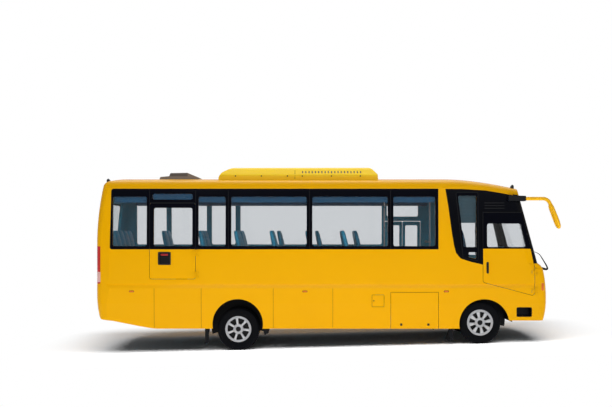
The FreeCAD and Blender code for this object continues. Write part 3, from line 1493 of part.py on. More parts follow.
def settled(shape):
    """A body piece turned nose-down onto its wheels."""
    turned = shape.copy()
    turned.rotate(Vector(0, 0, 0), Vector(0, 1, 0), RAKE)
    return turned


def right_wall():
    """Right wall with the fixed halves of the emergency door's hinges."""
    return fuse([side_wall(-1)] + wall_hinges(EXIT_HINGE_Z, exit_hinge()))


def front_with_hinges():
    """Front panel with the fixed halves of the driver's door's hinges."""
    return fuse([front_panel()] + wall_hinges(DOOR_HINGE_Z, driver_hinge()))


# Every node that sits on the raked body
BODY_NODES = {
    "side_wall_right": right_wall,
    "side_wall_left": lambda: side_wall(1),
    "roof_panel": roof_panel,
    "front_panel": front_with_hinges,
    "rear_panel": rear_panel,
    "floor_deck": floor_deck,
    "windscreen": windscreen,
    "rear_window": rear_window,
    "side_windows": side_windows,
    "cab_trim": cab_trim,
    "chassis_frame": chassis_frame,
    "leaf_springs": leaf_springs,
    "engine": engine,
    "drive_shaft": drive_shaft,
    "exhaust": exhaust,
    "fuel_tank": fuel_tank,
    "luggage_bays": luggage_bays,
    "mudflaps": mudflaps,
    "air_conditioner": air_conditioner,
    "roof_hatch": roof_hatch,
    "mirrors": mirrors,
    "mirror_roots": mirror_roots,
    "cab_step": cab_step,
    "wipers": wipers,
    "headlamps": headlamps,
    "tail_lamps": tail_lamps,
    "seat_frames": seat_frames,
    "seat_cushions": seat_cushions,
    "seat_backs": seat_backs,
    "luggage_racks": luggage_racks,
    "dashboard": dashboard,
    "steering_column": steering_column,
    "driver_seat": driver_seat,
    "steering_wheel": steering_wheel,
    "driver_door": driver_door,
    "driver_door_glass": driver_door_glass,
    "emergency_door": emergency_door,
    "emergency_door_glass": emergency_door_glass,
    "emergency_handle": exit_handle,
    "entry_leaf_front": lambda: entry_leaf(True),
    "entry_leaf_rear": lambda: entry_leaf(False),
    "entry_glass_front": lambda: entry_glass(True),
    "entry_glass_rear": lambda: entry_glass(False),
    "luggage_flap": luggage_flap,
    "fuel_flap": fuel_flap,
    "boot_lid": boot_lid,
}


def ground_pieces():
    """Every node that stands level on the road: axles, steering and wheels."""
    pieces = {"front_axle_beam": front_axle_beam(), "rear_axle": rear_axle(), "tie_rod": tie_rod()}
    for side, word in ((-1, "right"), (1, "left")):
        pieces["knuckle_" + word] = knuckle(side)
        pieces["tyre_front_" + word] = tyre(FRONT_AXLE_X, side * TRACK_HALF)
        pieces["wheel_front_" + word] = front_wheel(side)
        pieces["tyres_rear_" + word] = group([tyre(REAR_AXLE_X, side * TRACK_HALF),
                                              tyre(REAR_AXLE_X, side * (TRACK_HALF - TWIN_SPACING))])
        pieces["wheels_rear_" + word] = rear_wheels(side)
    return pieces


if __name__ == "__main__":
    os.makedirs("parts", exist_ok=True)
    nodes = {name: settled(build()) for name, build in BODY_NODES.items()}
    nodes.update(ground_pieces())
    for name, shape in nodes.items():
        shape.exportStep("parts/" + name + ".step")
        box = shape.BoundBox
        print(name, len(shape.Solids), shape.isValid(), round(shape.Volume / 1e6, 2), "litres",
              [round(v) for v in (box.XMin, box.XMax, box.YMin, box.YMax, box.ZMin, box.ZMax)])
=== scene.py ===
import math

import bmesh
import bpy
import numpy as np
from mathutils import Matrix, Vector
from mathutils.bvhtree import BVHTree
from mathutils.geometry import tessellate_polygon


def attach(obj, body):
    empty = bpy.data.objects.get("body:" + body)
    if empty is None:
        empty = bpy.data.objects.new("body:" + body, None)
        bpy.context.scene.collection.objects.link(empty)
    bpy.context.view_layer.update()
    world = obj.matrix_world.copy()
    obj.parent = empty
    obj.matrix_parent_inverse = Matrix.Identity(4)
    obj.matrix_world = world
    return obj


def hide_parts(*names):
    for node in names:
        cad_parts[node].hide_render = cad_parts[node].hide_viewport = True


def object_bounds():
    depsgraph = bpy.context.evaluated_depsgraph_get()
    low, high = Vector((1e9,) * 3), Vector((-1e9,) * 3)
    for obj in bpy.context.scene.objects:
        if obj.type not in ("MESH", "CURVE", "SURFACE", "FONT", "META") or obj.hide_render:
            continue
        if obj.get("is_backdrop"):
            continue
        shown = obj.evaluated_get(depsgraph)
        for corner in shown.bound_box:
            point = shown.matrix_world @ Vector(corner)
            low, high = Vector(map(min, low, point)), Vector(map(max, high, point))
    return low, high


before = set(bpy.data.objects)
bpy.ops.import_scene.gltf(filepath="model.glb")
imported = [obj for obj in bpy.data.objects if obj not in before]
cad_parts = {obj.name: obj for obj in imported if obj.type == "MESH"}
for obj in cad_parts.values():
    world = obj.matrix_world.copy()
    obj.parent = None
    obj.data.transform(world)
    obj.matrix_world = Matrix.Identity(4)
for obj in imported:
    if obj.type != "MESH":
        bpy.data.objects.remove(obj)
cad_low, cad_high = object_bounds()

# Camera. The bus was photographed square to its right side from about 16 m away, at the height of
# a tall tripod. The body stands nose-down on its springs, and the camera is rolled with it, so the
# painted lines run level in the picture.
RAKE = math.radians(1.54)
EYE = (-0.43, -17.175, 2.318)
IMAGE_WIDTH = 612
FOCAL_PIXELS = 803
HORIZON_PIXELS = 28.5
SENSOR_MM = 36.0


def settle(points):
    """Level body coordinates turned nose-down by RAKE about the Y axis, as the body stands:
    x' = x cos + z sin, z' = z cos - x sin."""
    x, y, z = np.moveaxis(np.asarray(points, float), -1, 0)
    return np.stack([x * math.cos(RAKE) + z * math.sin(RAKE), y,
                     z * math.cos(RAKE) - x * math.sin(RAKE)], axis=-1)


camera_lens = bpy.data.cameras.new("camera")
camera_lens.sensor_width = SENSOR_MM
camera_lens.lens = SENSOR_MM * FOCAL_PIXELS / IMAGE_WIDTH
camera_lens.shift_y = HORIZON_PIXELS / IMAGE_WIDTH
camera = bpy.data.objects.new("camera", camera_lens)
right, up, eye = settle((1, 0, 0)), settle((0, 0, 1)), settle(EYE)
camera.matrix_world = Matrix(((right[0], up[0], 0, eye[0]), (0, 0, -1, eye[1]),
                              (right[2], up[2], 0, eye[2]), (0, 0, 0, 1)))
bpy.context.scene.collection.objects.link(camera)
bpy.context.scene.camera = camera


# Studio. A matt white floor runs out to a white horizon, and shows its shading only near the bus.
# One soft box lights the floor alone from the camera's side. The bus is lit by one over the roof and
# one far off on the camera's side, so its side is lit flat.
FLOOR_HALF = 60.0
SHADED_FLOOR = {"X": (0.0, 4.7), "Y": (0.35, 1.65)}
SHADE_FADE = 1.6
WORLD_FILL = 0.16
HORIZON_GLOSS = 0.45
GLOSS_RISE = 0.6
FLOOR_BOX = dict(place=(0, -4.9, 9.0), aim=(0, -4.9, 0), size=(18, 9), watts=2150)
TOP_BOX = dict(place=(0, 2.0, 9.0), aim=(0, 0, 0), size=(14, 8), watts=690)
SIDE_BOX = dict(place=(1.5, -20.0, 9.0), aim=(0, 0, 1.5), size=(16, 7), watts=1240)
SHARP_ANGLE = math.radians(35)


def linear(colour):
    """sRGB hex to the linear values that shaders use."""
    channels = [int(colour[i:i + 2], 16) / 255 for i in (1, 3, 5)]
    return [c / 12.92 if c <= 0.04045 else ((c + 0.055) / 1.055) ** 2.4 for c in channels] + [1.0]


def add(tree, kind, settings=None, links=None):
    """Adds one shader node, with its properties and input values, and what feeds its inputs: a node,
    by its first live output, or a pair of node and output name."""
    node = tree.nodes.new("ShaderNode" + kind)
    for key, value in (settings or {}).items():
        if isinstance(key, int) or key in node.inputs:
            node.inputs[key].default_value = value
        else:
            setattr(node, key, value)
    for key, source in (links or {}).items():
        source, output = source if isinstance(source, tuple) else (source, None)
        output = source.outputs[output] if output else next(o for o in source.outputs if o.enabled)
        tree.links.new(output, node.inputs[key])
    return node


def blank_material(name):
    """A material with an empty node tree, and that tree."""
    material = bpy.data.materials.new(name)
    material.use_nodes = True
    material.node_tree.nodes.clear()
    return material, material.node_tree


def quads(rows, columns, close_rows=False, close_columns=False):
    """Faces of a grid of points, row by row, joined round where it closes."""
    i = np.arange(rows if close_rows else rows - 1)[:, None]
    j = np.arange(columns if close_columns else columns - 1)[None, :]
    below, beside = (i + 1) % rows, (j + 1) % columns
    corners = [i * columns + j, below * columns + j, below * columns + beside, i * columns + beside]
    return np.stack([np.broadcast_to(c, (i.size, j.size)) for c in corners], axis=-1).reshape(-1, 4)


def joined(shapes):
    """Several (points, faces) as one: the faces count on from the points before them."""
    starts = np.cumsum([0] + [len(points) for points, _ in shapes[:-1]])
    faces = [tuple(int(i + start) for i in face)
             for (_, group), start in zip(shapes, starts) for face in group]
    return np.concatenate([points for points, _ in shapes]), faces


def make_piece(name, shape, material, body="bus_body", smooth=True):
    """A mesh piece from (points, faces), or from a list of them, that rides on a body."""
    points, faces = joined(shape if isinstance(shape, list) else [shape])
    mesh = bpy.data.meshes.new(name)
    mesh.from_pydata(points.tolist(), [], faces)
    build = bmesh.new()
    build.from_mesh(mesh)
    bmesh.ops.recalc_face_normals(build, faces=build.faces[:])
    build.to_mesh(mesh)
    build.free()
    if smooth:
        mesh.polygons.foreach_set("use_smooth", [True] * len(mesh.polygons))
        mesh.set_sharp_from_angle(angle=SHARP_ANGLE)
    mesh.materials.append(material)
    piece = bpy.data.objects.new(name, mesh)
    bpy.context.scene.collection.objects.link(piece)
    if body:
        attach(piece, body)
    return piece


# White paper: matt, and where it fades out, as bright as the sky behind it.
floor_paper, tree = blank_material("matt_paper")
spot = add(tree, "SeparateXYZ", links={0: (add(tree, "TexCoord"), "Object")})
past = {}
for axis, (middle, reach) in SHADED_FLOOR.items():
    away = add(tree, "Math", {"operation": "SUBTRACT", 1: middle}, {0: (spot, axis)})
    away = add(tree, "Math", {"operation": "ABSOLUTE"}, {0: away})
    away = add(tree, "Math", {"operation": "SUBTRACT", 1: reach}, {0: away})
    past[axis] = add(tree, "Math", {"operation": "MAXIMUM", 1: 0.0}, {0: away})
beside = add(tree, "VectorMath", {"operation": "LENGTH"}, {0: add(tree, "CombineXYZ", links=past)})
far = add(tree, "MapRange", {"interpolation_type": "SMOOTHSTEP", "From Min": 0.0, "From Max": SHADE_FADE},
          {"Value": beside})
rays = add(tree, "LightPath")
looked = add(tree, "Math", {"operation": "SUBTRACT", 0: 1.0}, {1: (rays, "Is Diffuse Ray")})
faded = add(tree, "Math", {"operation": "MULTIPLY"}, {0: far, 1: looked})
paper = add(tree, "BsdfDiffuse", {"Color": linear("#FFFFFF"), "Roughness": 0.4})
glow = add(tree, "Emission", {"Color": linear("#FFFFFF"), "Strength": 1.0})
add(tree, "OutputMaterial", links={"Surface": add(tree, "MixShader", links={0: faded, 1: paper, 2: glow})})
floor_points = np.array([(x, y, 0.0) for x in (-FLOOR_HALF, FLOOR_HALF) for y in (-FLOOR_HALF, FLOOR_HALF)])
floor = make_piece("studio_floor", (floor_points, [(0, 2, 3, 1)]), floor_paper, body=None)
floor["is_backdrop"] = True

# The sky is white to the eye and through glass, brighter overhead in reflections, and a weak fill light.
world = bpy.data.worlds.new("studio")
world.use_nodes = True
tree = world.node_tree
tree.nodes.clear()
rays = add(tree, "LightPath")
height = add(tree, "SeparateXYZ", links={0: (add(tree, "TexCoord"), "Generated")})
mirrored = add(tree, "MapRange", {"From Max": GLOSS_RISE, "To Min": HORIZON_GLOSS, "To Max": 1.0},
               {"Value": (height, "Z")})
seen = add(tree, "Math", {"operation": "MAXIMUM"},
           {0: (rays, "Is Camera Ray"), 1: (rays, "Is Transmission Ray")})
level = add(tree, "Mix", {"data_type": "FLOAT", 2: WORLD_FILL}, {0: (rays, "Is Glossy Ray"), 3: mirrored})
level = add(tree, "Mix", {"data_type": "FLOAT", 3: 1.0}, {0: seen, 2: level})
sky = add(tree, "Background", {"Color": linear("#FFFFFF")}, {"Strength": level})
add(tree, "OutputWorld", links={"Surface": sky})
bpy.context.scene.world = world
bpy.context.scene.view_settings.view_transform = "Standard"


def soft_box(name, place, aim, size, watts, state):
    """A rectangular lamp at a place, turned to face a point, that lights the floor alone or all but it."""
    lamp = bpy.data.lights.new(name, "AREA")
    lamp.shape = "RECTANGLE"
    lamp.size, lamp.size_y = size
    lamp.energy = watts
    holder = bpy.data.objects.new(name, lamp)
    ahead = np.subtract(aim, place)
    ahead = ahead / np.linalg.norm(ahead)
    looks_down = abs(ahead[2]) > 0.9
    across = np.cross(ahead, (0, 1, 0) if looks_down else (0, 0, 1))
    across = across / np.linalg.norm(across)
    turned = np.column_stack([across, np.cross(across, ahead), -ahead, place])
    holder.matrix_world = Matrix([*turned.tolist(), (0, 0, 0, 1)])
    holder.visible_camera = False
    bpy.context.scene.collection.objects.link(holder)
    lit = bpy.data.collections.new(name + "_receivers")
    lit.objects.link(floor)
    holder.light_linking.receiver_collection = lit
    lit.collection_objects[0].light_linking.link_state = state


soft_box("floor_box", **FLOOR_BOX, state="INCLUDE")
soft_box("top_box", **TOP_BOX, state="EXCLUDE")
soft_box("side_box", **SIDE_BOX, state="EXCLUDE")


# Painted shell. Pressed steel and moulded plastic panels, sprayed in school yellow enamel under a
# clear coat. Inside, the same panels are faced with teal trim board, and road dust dulls the skirt.
YELLOW = "#EFB000"
YELLOW_DEEP = "#E9A900"
TRIM_BOARD = "#348CA4"
BLACK_LACQUER_AND_GAP_SHADE = "#08090D"
PEEL_MM = 2.5
CLOUDS_PER_METRE = 0.9
DUST_HEIGHTS = (0.30, 0.95)
DUSTY, CLEAN = 0.42, 0.26
CORE = ((-3.9, 0.0, 0.5), (3.4, 0.0, 3.0))
FACES_OUT, FACES_IN = 0.13, -0.3
SCREEN_LEDGE_Z = 1.690
DOOR_WAIST_Z = 1.984
PILLAR_X = 3.700
SHARE, FIRST, SECOND = 0, 6, 7  # inputs of a colour Mix node: how much of the second, and the two colours


def level_coordinates(tree):
    """Object coordinates as they are, turned back to the level body, and split into X, Y and Z there."""
    where = add(tree, "TexCoord")
    level = add(tree, "Mapping", {"Rotation": (0, -RAKE, 0)}, {"Vector": (where, "Object")})
    return where, level, add(tree, "SeparateXYZ", links={0: level})


def zone(tree, *tests):
    """1 where every test (source, operation, limit) holds, and 0 elsewhere: the tests' product."""
    held = [add(tree, "Math", {"operation": operation, 1: limit}, {0: source})
            for source, operation, limit in tests]
    inside = held[0]
    for other in held[1:]:
        inside = add(tree, "Math", {"operation": "MULTIPLY"}, {0: inside, 1: other})
    return inside


def finish_surface(tree, height, settings, links, strength, relief_mm):
    """Ends a material: the shader with its values and links, the output, and a height in relief."""
    bump = add(tree, "Bump", {"Strength": strength, "Distance": relief_mm / 1000}, {"Height": height})
    shader = add(tree, "BsdfPrincipled", settings, {**links, "Normal": bump})
    add(tree, "OutputMaterial", links={"Surface": shader})


def enamel(name, shell=True, black=None, tones=(YELLOW_DEEP, YELLOW)):
    """Sprayed enamel, which gives a soft even gloss with fine orange peel. On a shell it covers the faces
    that look away from the body's core, with trim board inside and black on the faces edge-on to the core,
    in gaps and openings, as painted shade. Black lacquer lies beyond (x, z) where black gives them."""
    material, tree = blank_material(name)
    where, level, split = level_coordinates(tree)
    cloud = add(tree, "TexNoise", {"Scale": CLOUDS_PER_METRE, "Detail": 3.0}, {"Vector": level})
    colour = add(tree, "Mix", {"data_type": "RGBA", FIRST: linear(tones[0]), SECOND: linear(tones[1])},
                 {SHARE: cloud})
    if shell:
        near = add(tree, "VectorMath", {"operation": "MAXIMUM", 1: CORE[0]}, {0: (where, "Object")})
        near = add(tree, "VectorMath", {"operation": "MINIMUM", 1: CORE[1]}, {0: near})
        out = add(tree, "VectorMath", {"operation": "SUBTRACT"}, {0: (where, "Object"), 1: near})
        out = add(tree, "VectorMath", {"operation": "NORMALIZE"}, {0: out})
        facing = add(tree, "VectorMath", {"operation": "DOT_PRODUCT"}, {0: out, 1: (where, "Normal")})
        # Faces edge-on to the core, the walls of gaps and openings, are black: painted shade for the dark in
        # the gaps.
        trim_and_gap_shade = add(tree, "Mix", {"data_type": "RGBA", FIRST: linear(BLACK_LACQUER_AND_GAP_SHADE),
                                      SECOND: linear(TRIM_BOARD)},
                        {SHARE: zone(tree, (facing, "LESS_THAN", FACES_IN))})
        colour = add(tree, "Mix", {"data_type": "RGBA"},
                     {SHARE: zone(tree, (facing, "GREATER_THAN", FACES_OUT)), FIRST: trim_and_gap_shade,
                      SECOND: colour})
    if black:
        lacquered = zone(tree, ((split, "X"), "GREATER_THAN", black[0]),
                         ((split, "Z"), "GREATER_THAN", black[1]))
        colour = add(tree, "Mix", {"data_type": "RGBA", SECOND: linear(BLACK_LACQUER_AND_GAP_SHADE)},
                     {SHARE: lacquered, FIRST: colour})
    dust = add(tree, "MapRange", {"From Min": DUST_HEIGHTS[0], "From Max": DUST_HEIGHTS[1], "To Min": DUSTY,
                                  "To Max": CLEAN}, {"Value": (split, "Z")})
    peel = add(tree, "TexNoise", {"Scale": 1000 / PEEL_MM}, {"Vector": (where, "Object")})
    finish_surface(tree, peel, {"IOR": 1.5, "Specular IOR Level": 0.06, "Coat Weight": 0.04,
                                "Coat Roughness": 0.05},
                   {"Base Color": colour, "Roughness": dust}, strength=0.04, relief_mm=0.3)
    return material


def dress(material, *nodes):
    """The material on the named CAD nodes."""
    for name in nodes:
        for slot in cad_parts[name].material_slots:
            slot.material = material


dress(enamel("enamel_walls", black=(PILLAR_X, DOOR_WAIST_Z)), "side_wall_right", "side_wall_left")
dress(enamel("enamel_panels"), "luggage_flap", "fuel_flap", "roof_panel", "rear_panel", "boot_lid",
      "emergency_door", "entry_leaf_front", "entry_leaf_rear")
dress(enamel("enamel_front", black=(0.0, SCREEN_LEDGE_Z)), "front_panel")
dress(enamel("enamel_driver_door", black=(0.0, DOOR_WAIST_Z)), "driver_door")
dress(enamel("enamel_pod", shell=False, tones=("#FACE24", "#FED82E")), "air_conditioner")
mirror_enamel = enamel("enamel_mirror", shell=False, tones=("#F4B81E", "#F6BC22"))
dress(mirror_enamel, "mirrors")


# Glazing. Tinted toughened glass 6 mm thick, bonded flush in the body. It is faintly grey in the mass,
# passes about four fifths of the light, and mirrors the white studio faintly.
GLASS_TINT = "#E2E4E6"


def tinted_glass(name, tint):
    """Solid glass, clear and mirror-smooth, that lets the lamps' light through to the cabin."""
    material, tree = blank_material(name)
    glass = add(tree, "BsdfPrincipled", {"Base Color": linear(tint), "Roughness": 0.0, "IOR": 1.3,
                                         "Transmission Weight": 1.0})
    clear = add(tree, "BsdfTransparent", {"Color": linear(tint)})
    shadow = (add(tree, "LightPath"), "Is Shadow Ray")
    both = add(tree, "MixShader", links={0: shadow, 1: glass, 2: clear})
    add(tree, "OutputMaterial", links={"Surface": both})
    return material


dress(tinted_glass("toughened_glass", GLASS_TINT), "side_windows", "windscreen", "rear_window",
      "driver_door_glass", "emergency_door_glass", "entry_glass_front", "entry_glass_rear")


# Window borders. The panes carry a fired black ceramic band round their edges, drawn here as a glossy
# sheet a millimetre thick on each pane. Each sheet is an outline with a hole, filled with triangles
# and laid on the wall's own lean.
WALL_PROFILE = ((0.388, 1.152), (1.198, 1.175), (1.2775, 1.162), (1.284, 1.175), (1.978, 1.175),
                (3.187, 1.150))
BAND = (1.978, 3.176)
BELT = (BAND[0],)
BAND_REAR = (-4.336, -4.308)
BAND_CORNER_R = 0.04
BORDER = dict(sides=0.054, low=0.058, high=0.150, most=0.35, radius=0.04)
PILLARS = (-3.550, -2.632, -1.978, -0.360)
WINDOW_JOINTS = dict(right=(-4.338, *PILLARS, 1.258, 2.205), left=(-4.338, *PILLARS, 1.352, 2.178))
OVER_DOOR = dict(right=(1, 2.906), left=(5, 2.612))
PANE_GAP = 0.002
SKIN = (0.0001, 0.0012)
EXIT_X = (PILLARS[0] + 0.006, PILLARS[1] - 0.006)
EXIT_TOP_Z = 2.896
ENTRY_LEAVES = dict(front=(1.799, 2.140), rear=(1.402, 1.731))
ENTRY_PANE_Z, ENTRY_CLEAR_Z = (1.294, 2.510), (1.330, 2.470)
ENTRY_STILE = 0.032
QUARTER = [(2.560, 3.110, 0.03), (2.700, 1.800, 0.04), (3.000, 1.740, 0.03), (3.000, 3.110, 0.03)]


def wall_half(z):
    """Half width of the body at a height, along straight lines between the wall's creases."""
    heights, halves = zip(*WALL_PROFILE)
    return np.interp(z, heights, halves)


def on_wall(side):
    """Sets flat side-view points (x, z) on one wall, a depth proud of its outer face."""
    def place(points, depth):
        x, z = np.asarray(points, float).T
        return settle(np.stack([x, side * (wall_half(z) + depth), z], axis=-1))
    return place


def corner_ways(corners):
    """Each corner's point and radius, with the unit ways from it to the corners before and after."""
    points = np.array(corners, float)[:, :2]
    ways = [np.roll(points, step, axis=0) - points for step in (1, -1)]
    before, after = (way / np.linalg.norm(way, axis=1, keepdims=True) for way in ways)
    return zip(points, [corner[2] for corner in corners], before, after)


def arc(u, v, radius, turns):
    """Points (u + r cos a, v + r sin a) at the given turns a."""
    return np.column_stack([u + radius * np.cos(turns), v + radius * np.sin(turns)])


def rounded(corners, steps=6):
    """Outline through corners (u, v, radius), each turned by an arc that touches both its sides."""
    outline = []
    for here, radius, before, after in corner_ways(corners):
        half = math.acos(np.clip(before @ after, -1, 1)) / 2
        middle = (before + after) / np.linalg.norm(before + after)
        centre = here + middle * radius / math.sin(half)
        start, end = (here + way * radius / math.tan(half) - centre for way in (before, after))
        first = math.atan2(start[1], start[0])
        sweep = (math.atan2(end[1], end[0]) - first + math.pi) % (2 * math.pi) - math.pi
        outline.append(arc(*centre, radius, first + sweep * np.linspace(0, 1, steps)))
    return np.concatenate(outline)


def box_corners(u0, u1, v0, v1, radius=0.002):
    """A rectangle's corners (u, v, radius), anticlockwise."""
    return [(u0, v0, radius), (u1, v0, radius), (u1, v1, radius), (u0, v1, radius)]


def oblong(u0, u1, v0, v1, radius=0.002):
    """A rectangle's outline, its corners turned by a radius, or square where that is 0."""
    corners = box_corners(u0, u1, v0, v1, radius)
    return rounded(corners) if radius else np.array(corners)[:, :2]


def sheet(outlines, place, depth, levels=(), columns=()):
    """Closed thin sheet. The first outline, less the others, is filled with triangles, cut along the
    levels and columns where its surface bends, and set at two depths joined round every edge."""
    loops = [[Vector((u, 0, v)) for u, v in loop] for loop in outlines]
    flat = bmesh.new()
    corners = [flat.verts.new(point) for loop in loops for point in loop]
    for triangle in tessellate_polygon(loops):
        if len(set(triangle)) == 3:
            flat.faces.new([corners[i] for i in triangle])
    for normal, cuts in (((0, 0, 1), levels), ((1, 0, 0), columns)):
        for cut in cuts:
            everything = flat.verts[:] + flat.edges[:] + flat.faces[:]
            bmesh.ops.bisect_plane(flat, geom=everything, plane_co=Vector(normal) * cut, plane_no=normal)
    flat.verts.index_update()
    points = np.array([(v.co.x, v.co.z) for v in flat.verts])
    count = len(points)
    faces = [tuple(v.index for v in face.verts) for face in flat.faces]
    rim = [tuple(v.index for v in edge.verts) for edge in flat.edges if len(edge.link_faces) == 1]
    flat.free()
    faces += [tuple(i + count for i in reversed(face)) for face in faces]
    faces += [(a, b, b + count, a + count) for a, b in rim]
    return np.concatenate([place(points, depth[1]), place(points, depth[0])]), faces


def bordered(u0, u1, v0, v1):
    """A pane's outline, and its clear middle inside the band."""
    high = min(BORDER["high"], BORDER["most"] * (v1 - v0))
    clear = (u0 + BORDER["sides"], u1 - BORDER["sides"], v0 + BORDER["low"], v1 - high, BORDER["radius"])
    return [oblong(u0, u1, v0, v1), oblong(*clear)]


def rear_ended(front, radius):
    """Corners of a stretch of the window band from its sloped and rounded rear end to x = front."""
    return [(BAND_REAR[0], BAND[0], BAND_CORNER_R), (front, BAND[0], radius), (front, BAND[1], radius),
            (BAND_REAR[1], BAND[1], BAND_CORNER_R)]


def fired_ceramic(name, colour, roughness):
    """Fired enamel on glass: opaque and glossy, with a very fine orange peel 3 mm across."""
    material, tree = blank_material(name)
    at = (add(tree, "TexCoord"), "Object")
    cloud = add(tree, "TexNoise", {"Scale": 2.0, "Detail": 2.0}, {"Vector": at})
    sheen = add(tree, "MapRange", {"To Min": roughness, "To Max": roughness + 0.06}, {"Value": cloud})
    peel = add(tree, "TexNoise", {"Scale": 300.0}, {"Vector": at})
    finish_surface(tree, peel, {"Base Color": linear(colour), "Specular IOR Level": 0.07},
                   {"Roughness": sheen}, strength=0.02, relief_mm=0.2)
    return material


ceramic = fired_ceramic("fired_ceramic", "#01020A", 0.06)
right_wall, left_wall = on_wall(-1), on_wall(1)
for word, place in (("right", right_wall), ("left", left_wall)):
    shapes = []
    joints = WINDOW_JOINTS[word]
    for number, (start, end) in enumerate(zip(joints[:-1], joints[1:])):
        foot = OVER_DOOR[word][1] if number == OVER_DOOR[word][0] else BAND[0]
        outer, clear = bordered(start + PANE_GAP, end - PANE_GAP, foot, BAND[1])
        if number == 0:
            outer = rounded(rear_ended(end - PANE_GAP, 0.002))
        shapes.append(sheet([outer, clear], place, SKIN))
    make_piece("window_borders_" + word, shapes, ceramic, smooth=False)

exit_outline = [(EXIT_X[0], BAND[0], 0.002), (EXIT_X[1], BAND[0], 0.002), (EXIT_X[1], EXIT_TOP_Z, 0.04),
                (EXIT_X[0], EXIT_TOP_Z, 0.04)]
exit_pane = sheet([rounded(exit_outline), oblong(-3.466, -2.696, 2.036, 2.800, 0.04)], right_wall, SKIN)
make_piece("emergency_door_border", exit_pane, ceramic, "emergency_door", smooth=False)
door_outline = [(3.103, DOOR_WAIST_Z, 0.002), (4.048, DOOR_WAIST_Z, 0.002), (3.866, 2.706, 0.03),
                (3.103, 2.706, 0.03)]
door_clear = [(3.180, 2.018, 0.04), (3.960, 2.018, 0.03), (3.850, 2.486, 0.04), (3.180, 2.486, 0.04)]
door_pane = sheet([rounded(door_outline), rounded(door_clear)], right_wall, SKIN)
make_piece("driver_door_border", door_pane, ceramic, "driver_door", smooth=False)
quarter_clear = [(2.604, 3.046, 0.03), (2.736, 1.826, 0.04), (2.966, 1.780, 0.03), (2.966, 3.046, 0.03)]
quarter_pane = sheet([rounded(QUARTER), rounded(quarter_clear)], right_wall, SKIN, levels=BELT)
cab_outline = [(2.352, 3.178, 0.002), (2.404, 2.854, 0.002), (2.480, 2.286, 0.002), (2.518, 2.058, 0.002),
               (2.560, 1.902, 0.06), (2.650, 1.792, 0.06), (2.862, 1.724, 0.002), (3.094, 1.670, 0.002),
               (4.058, 1.670, 0.002), (3.988, 1.982, 0.002), (3.726, 3.008, 0.002), (3.716, 3.048, 0.002),
               (3.474, 3.092, 0.002), (3.168, 3.144, 0.002), (2.700, 3.174, 0.002)]
cab_clear = [(2.620, 3.060, 0.06), (2.720, 1.840, 0.06), (3.980, 1.760, 0.06), (3.940, 2.060, 0.04),
             (3.730, 2.960, 0.06)]
cab_pane = sheet([rounded(cab_outline), rounded(cab_clear)], left_wall, SKIN, levels=BELT)
make_piece("cab_window_borders", [quarter_pane, cab_pane], ceramic, smooth=False)
for word, (x0, x1) in ENTRY_LEAVES.items():
    leaf_pane = sheet([oblong(x0, x1, *ENTRY_PANE_Z, 0.04),
                       oblong(x0 + ENTRY_STILE, x1 - ENTRY_STILE, *ENTRY_CLEAR_Z, 0.03)],
                      left_wall, SKIN, levels=BELT)
    make_piece("entry_border_" + word, leaf_pane, ceramic, "entry_leaf_" + word, smooth=False)


# Sealing beads. Black polyurethane fills the gaps between the panes and edges the whole band, standing
# a little proud. Each bead is a thin flat strip or ring on the wall.
BEAD = (0.0004, 0.0032)
BEAD_HALF = 0.006
DOOR_BEAD = (-0.006, 0.007)
SHARPEST = 0.3


def ring_outline(corners, reach):
    """The outline moved out by a reach: its corners move along their bisectors, by the reach over the
    cosine of half their turn, which is taken as SHARPEST at least."""
    moved = []
    for here, radius, before, after in corner_ways(corners):
        out = np.array((after[1] - before[1], before[0] - after[0]))
        out = out / np.linalg.norm(out)
        spread = reach / max(SHARPEST, out @ np.array((-before[1], before[0])))
        moved.append((*(here + out * spread), max(0.001, radius + reach)))
    return rounded(moved)


def bead(corners, place, reach, depth, levels=()):
    """A flat ring that straddles an anticlockwise outline by a reach on both sides."""
    return sheet([ring_outline(corners, reach), ring_outline(corners, -reach)], place, depth, levels)


def moulded(name, dark, pale, roughness, scale_mm=2.0, relief_mm=0.1, specular=0.2, metallic=0.0,
            patch_mm=120.0):
    """Moulded, cast or sprayed surface: fine grain in relief, and a slow drift of colour and sheen. The
    numbers are its roughness, grain and relief in mm, specular level, metallic and patches in mm."""
    material, tree = blank_material(name)
    at = (add(tree, "TexCoord"), "Object")
    patch = add(tree, "TexNoise", {"Scale": 1000 / patch_mm, "Detail": 4.0}, {"Vector": at})
    grain = add(tree, "TexNoise", {"Scale": 1000 / scale_mm, "Detail": 1.0}, {"Vector": at})
    colour = add(tree, "Mix", {"data_type": "RGBA", FIRST: linear(dark), SECOND: linear(pale)},
                 {SHARE: patch})
    sheen = add(tree, "MapRange", {"To Min": roughness - 0.08, "To Max": roughness + 0.08}, {"Value": patch})
    finish_surface(tree, grain, {"Metallic": metallic, "Specular IOR Level": specular},
                   {"Base Color": colour, "Roughness": sheen}, strength=0.4, relief_mm=relief_mm)
    return material


bead_rubber = moulded("sealing_bead", "#050609", "#0A0B0F", 0.5, specular=0.1)
beads = [bead(rear_ended(WINDOW_JOINTS["right"][-1], 0.004), right_wall, BEAD_HALF, BEAD),
         bead(rear_ended(WINDOW_JOINTS["left"][-2], 0.004), left_wall, BEAD_HALF, BEAD)]
for number, x in enumerate(WINDOW_JOINTS["right"][1:-1]):
    beside_door = number < 2
    low = OVER_DOOR["right"][1] if beside_door else BAND[0]
    beads.append(sheet([oblong(x - BEAD_HALF, x + BEAD_HALF, low, BAND[1])], right_wall, BEAD))
for x in PILLARS:
    beads.append(sheet([oblong(x - BEAD_HALF, x + BEAD_HALF, *BAND)], left_wall, BEAD))
beads.append(bead(QUARTER, right_wall, 0.008, BEAD, levels=BELT))
make_piece("sealing_beads", beads, bead_rubber, smooth=False)
exit_beads = [sheet([oblong(x + DOOR_BEAD[0], x + DOOR_BEAD[1], DOOR_WAIST_Z, EXIT_TOP_Z)], right_wall, BEAD)
              for x in PILLARS[:2]]
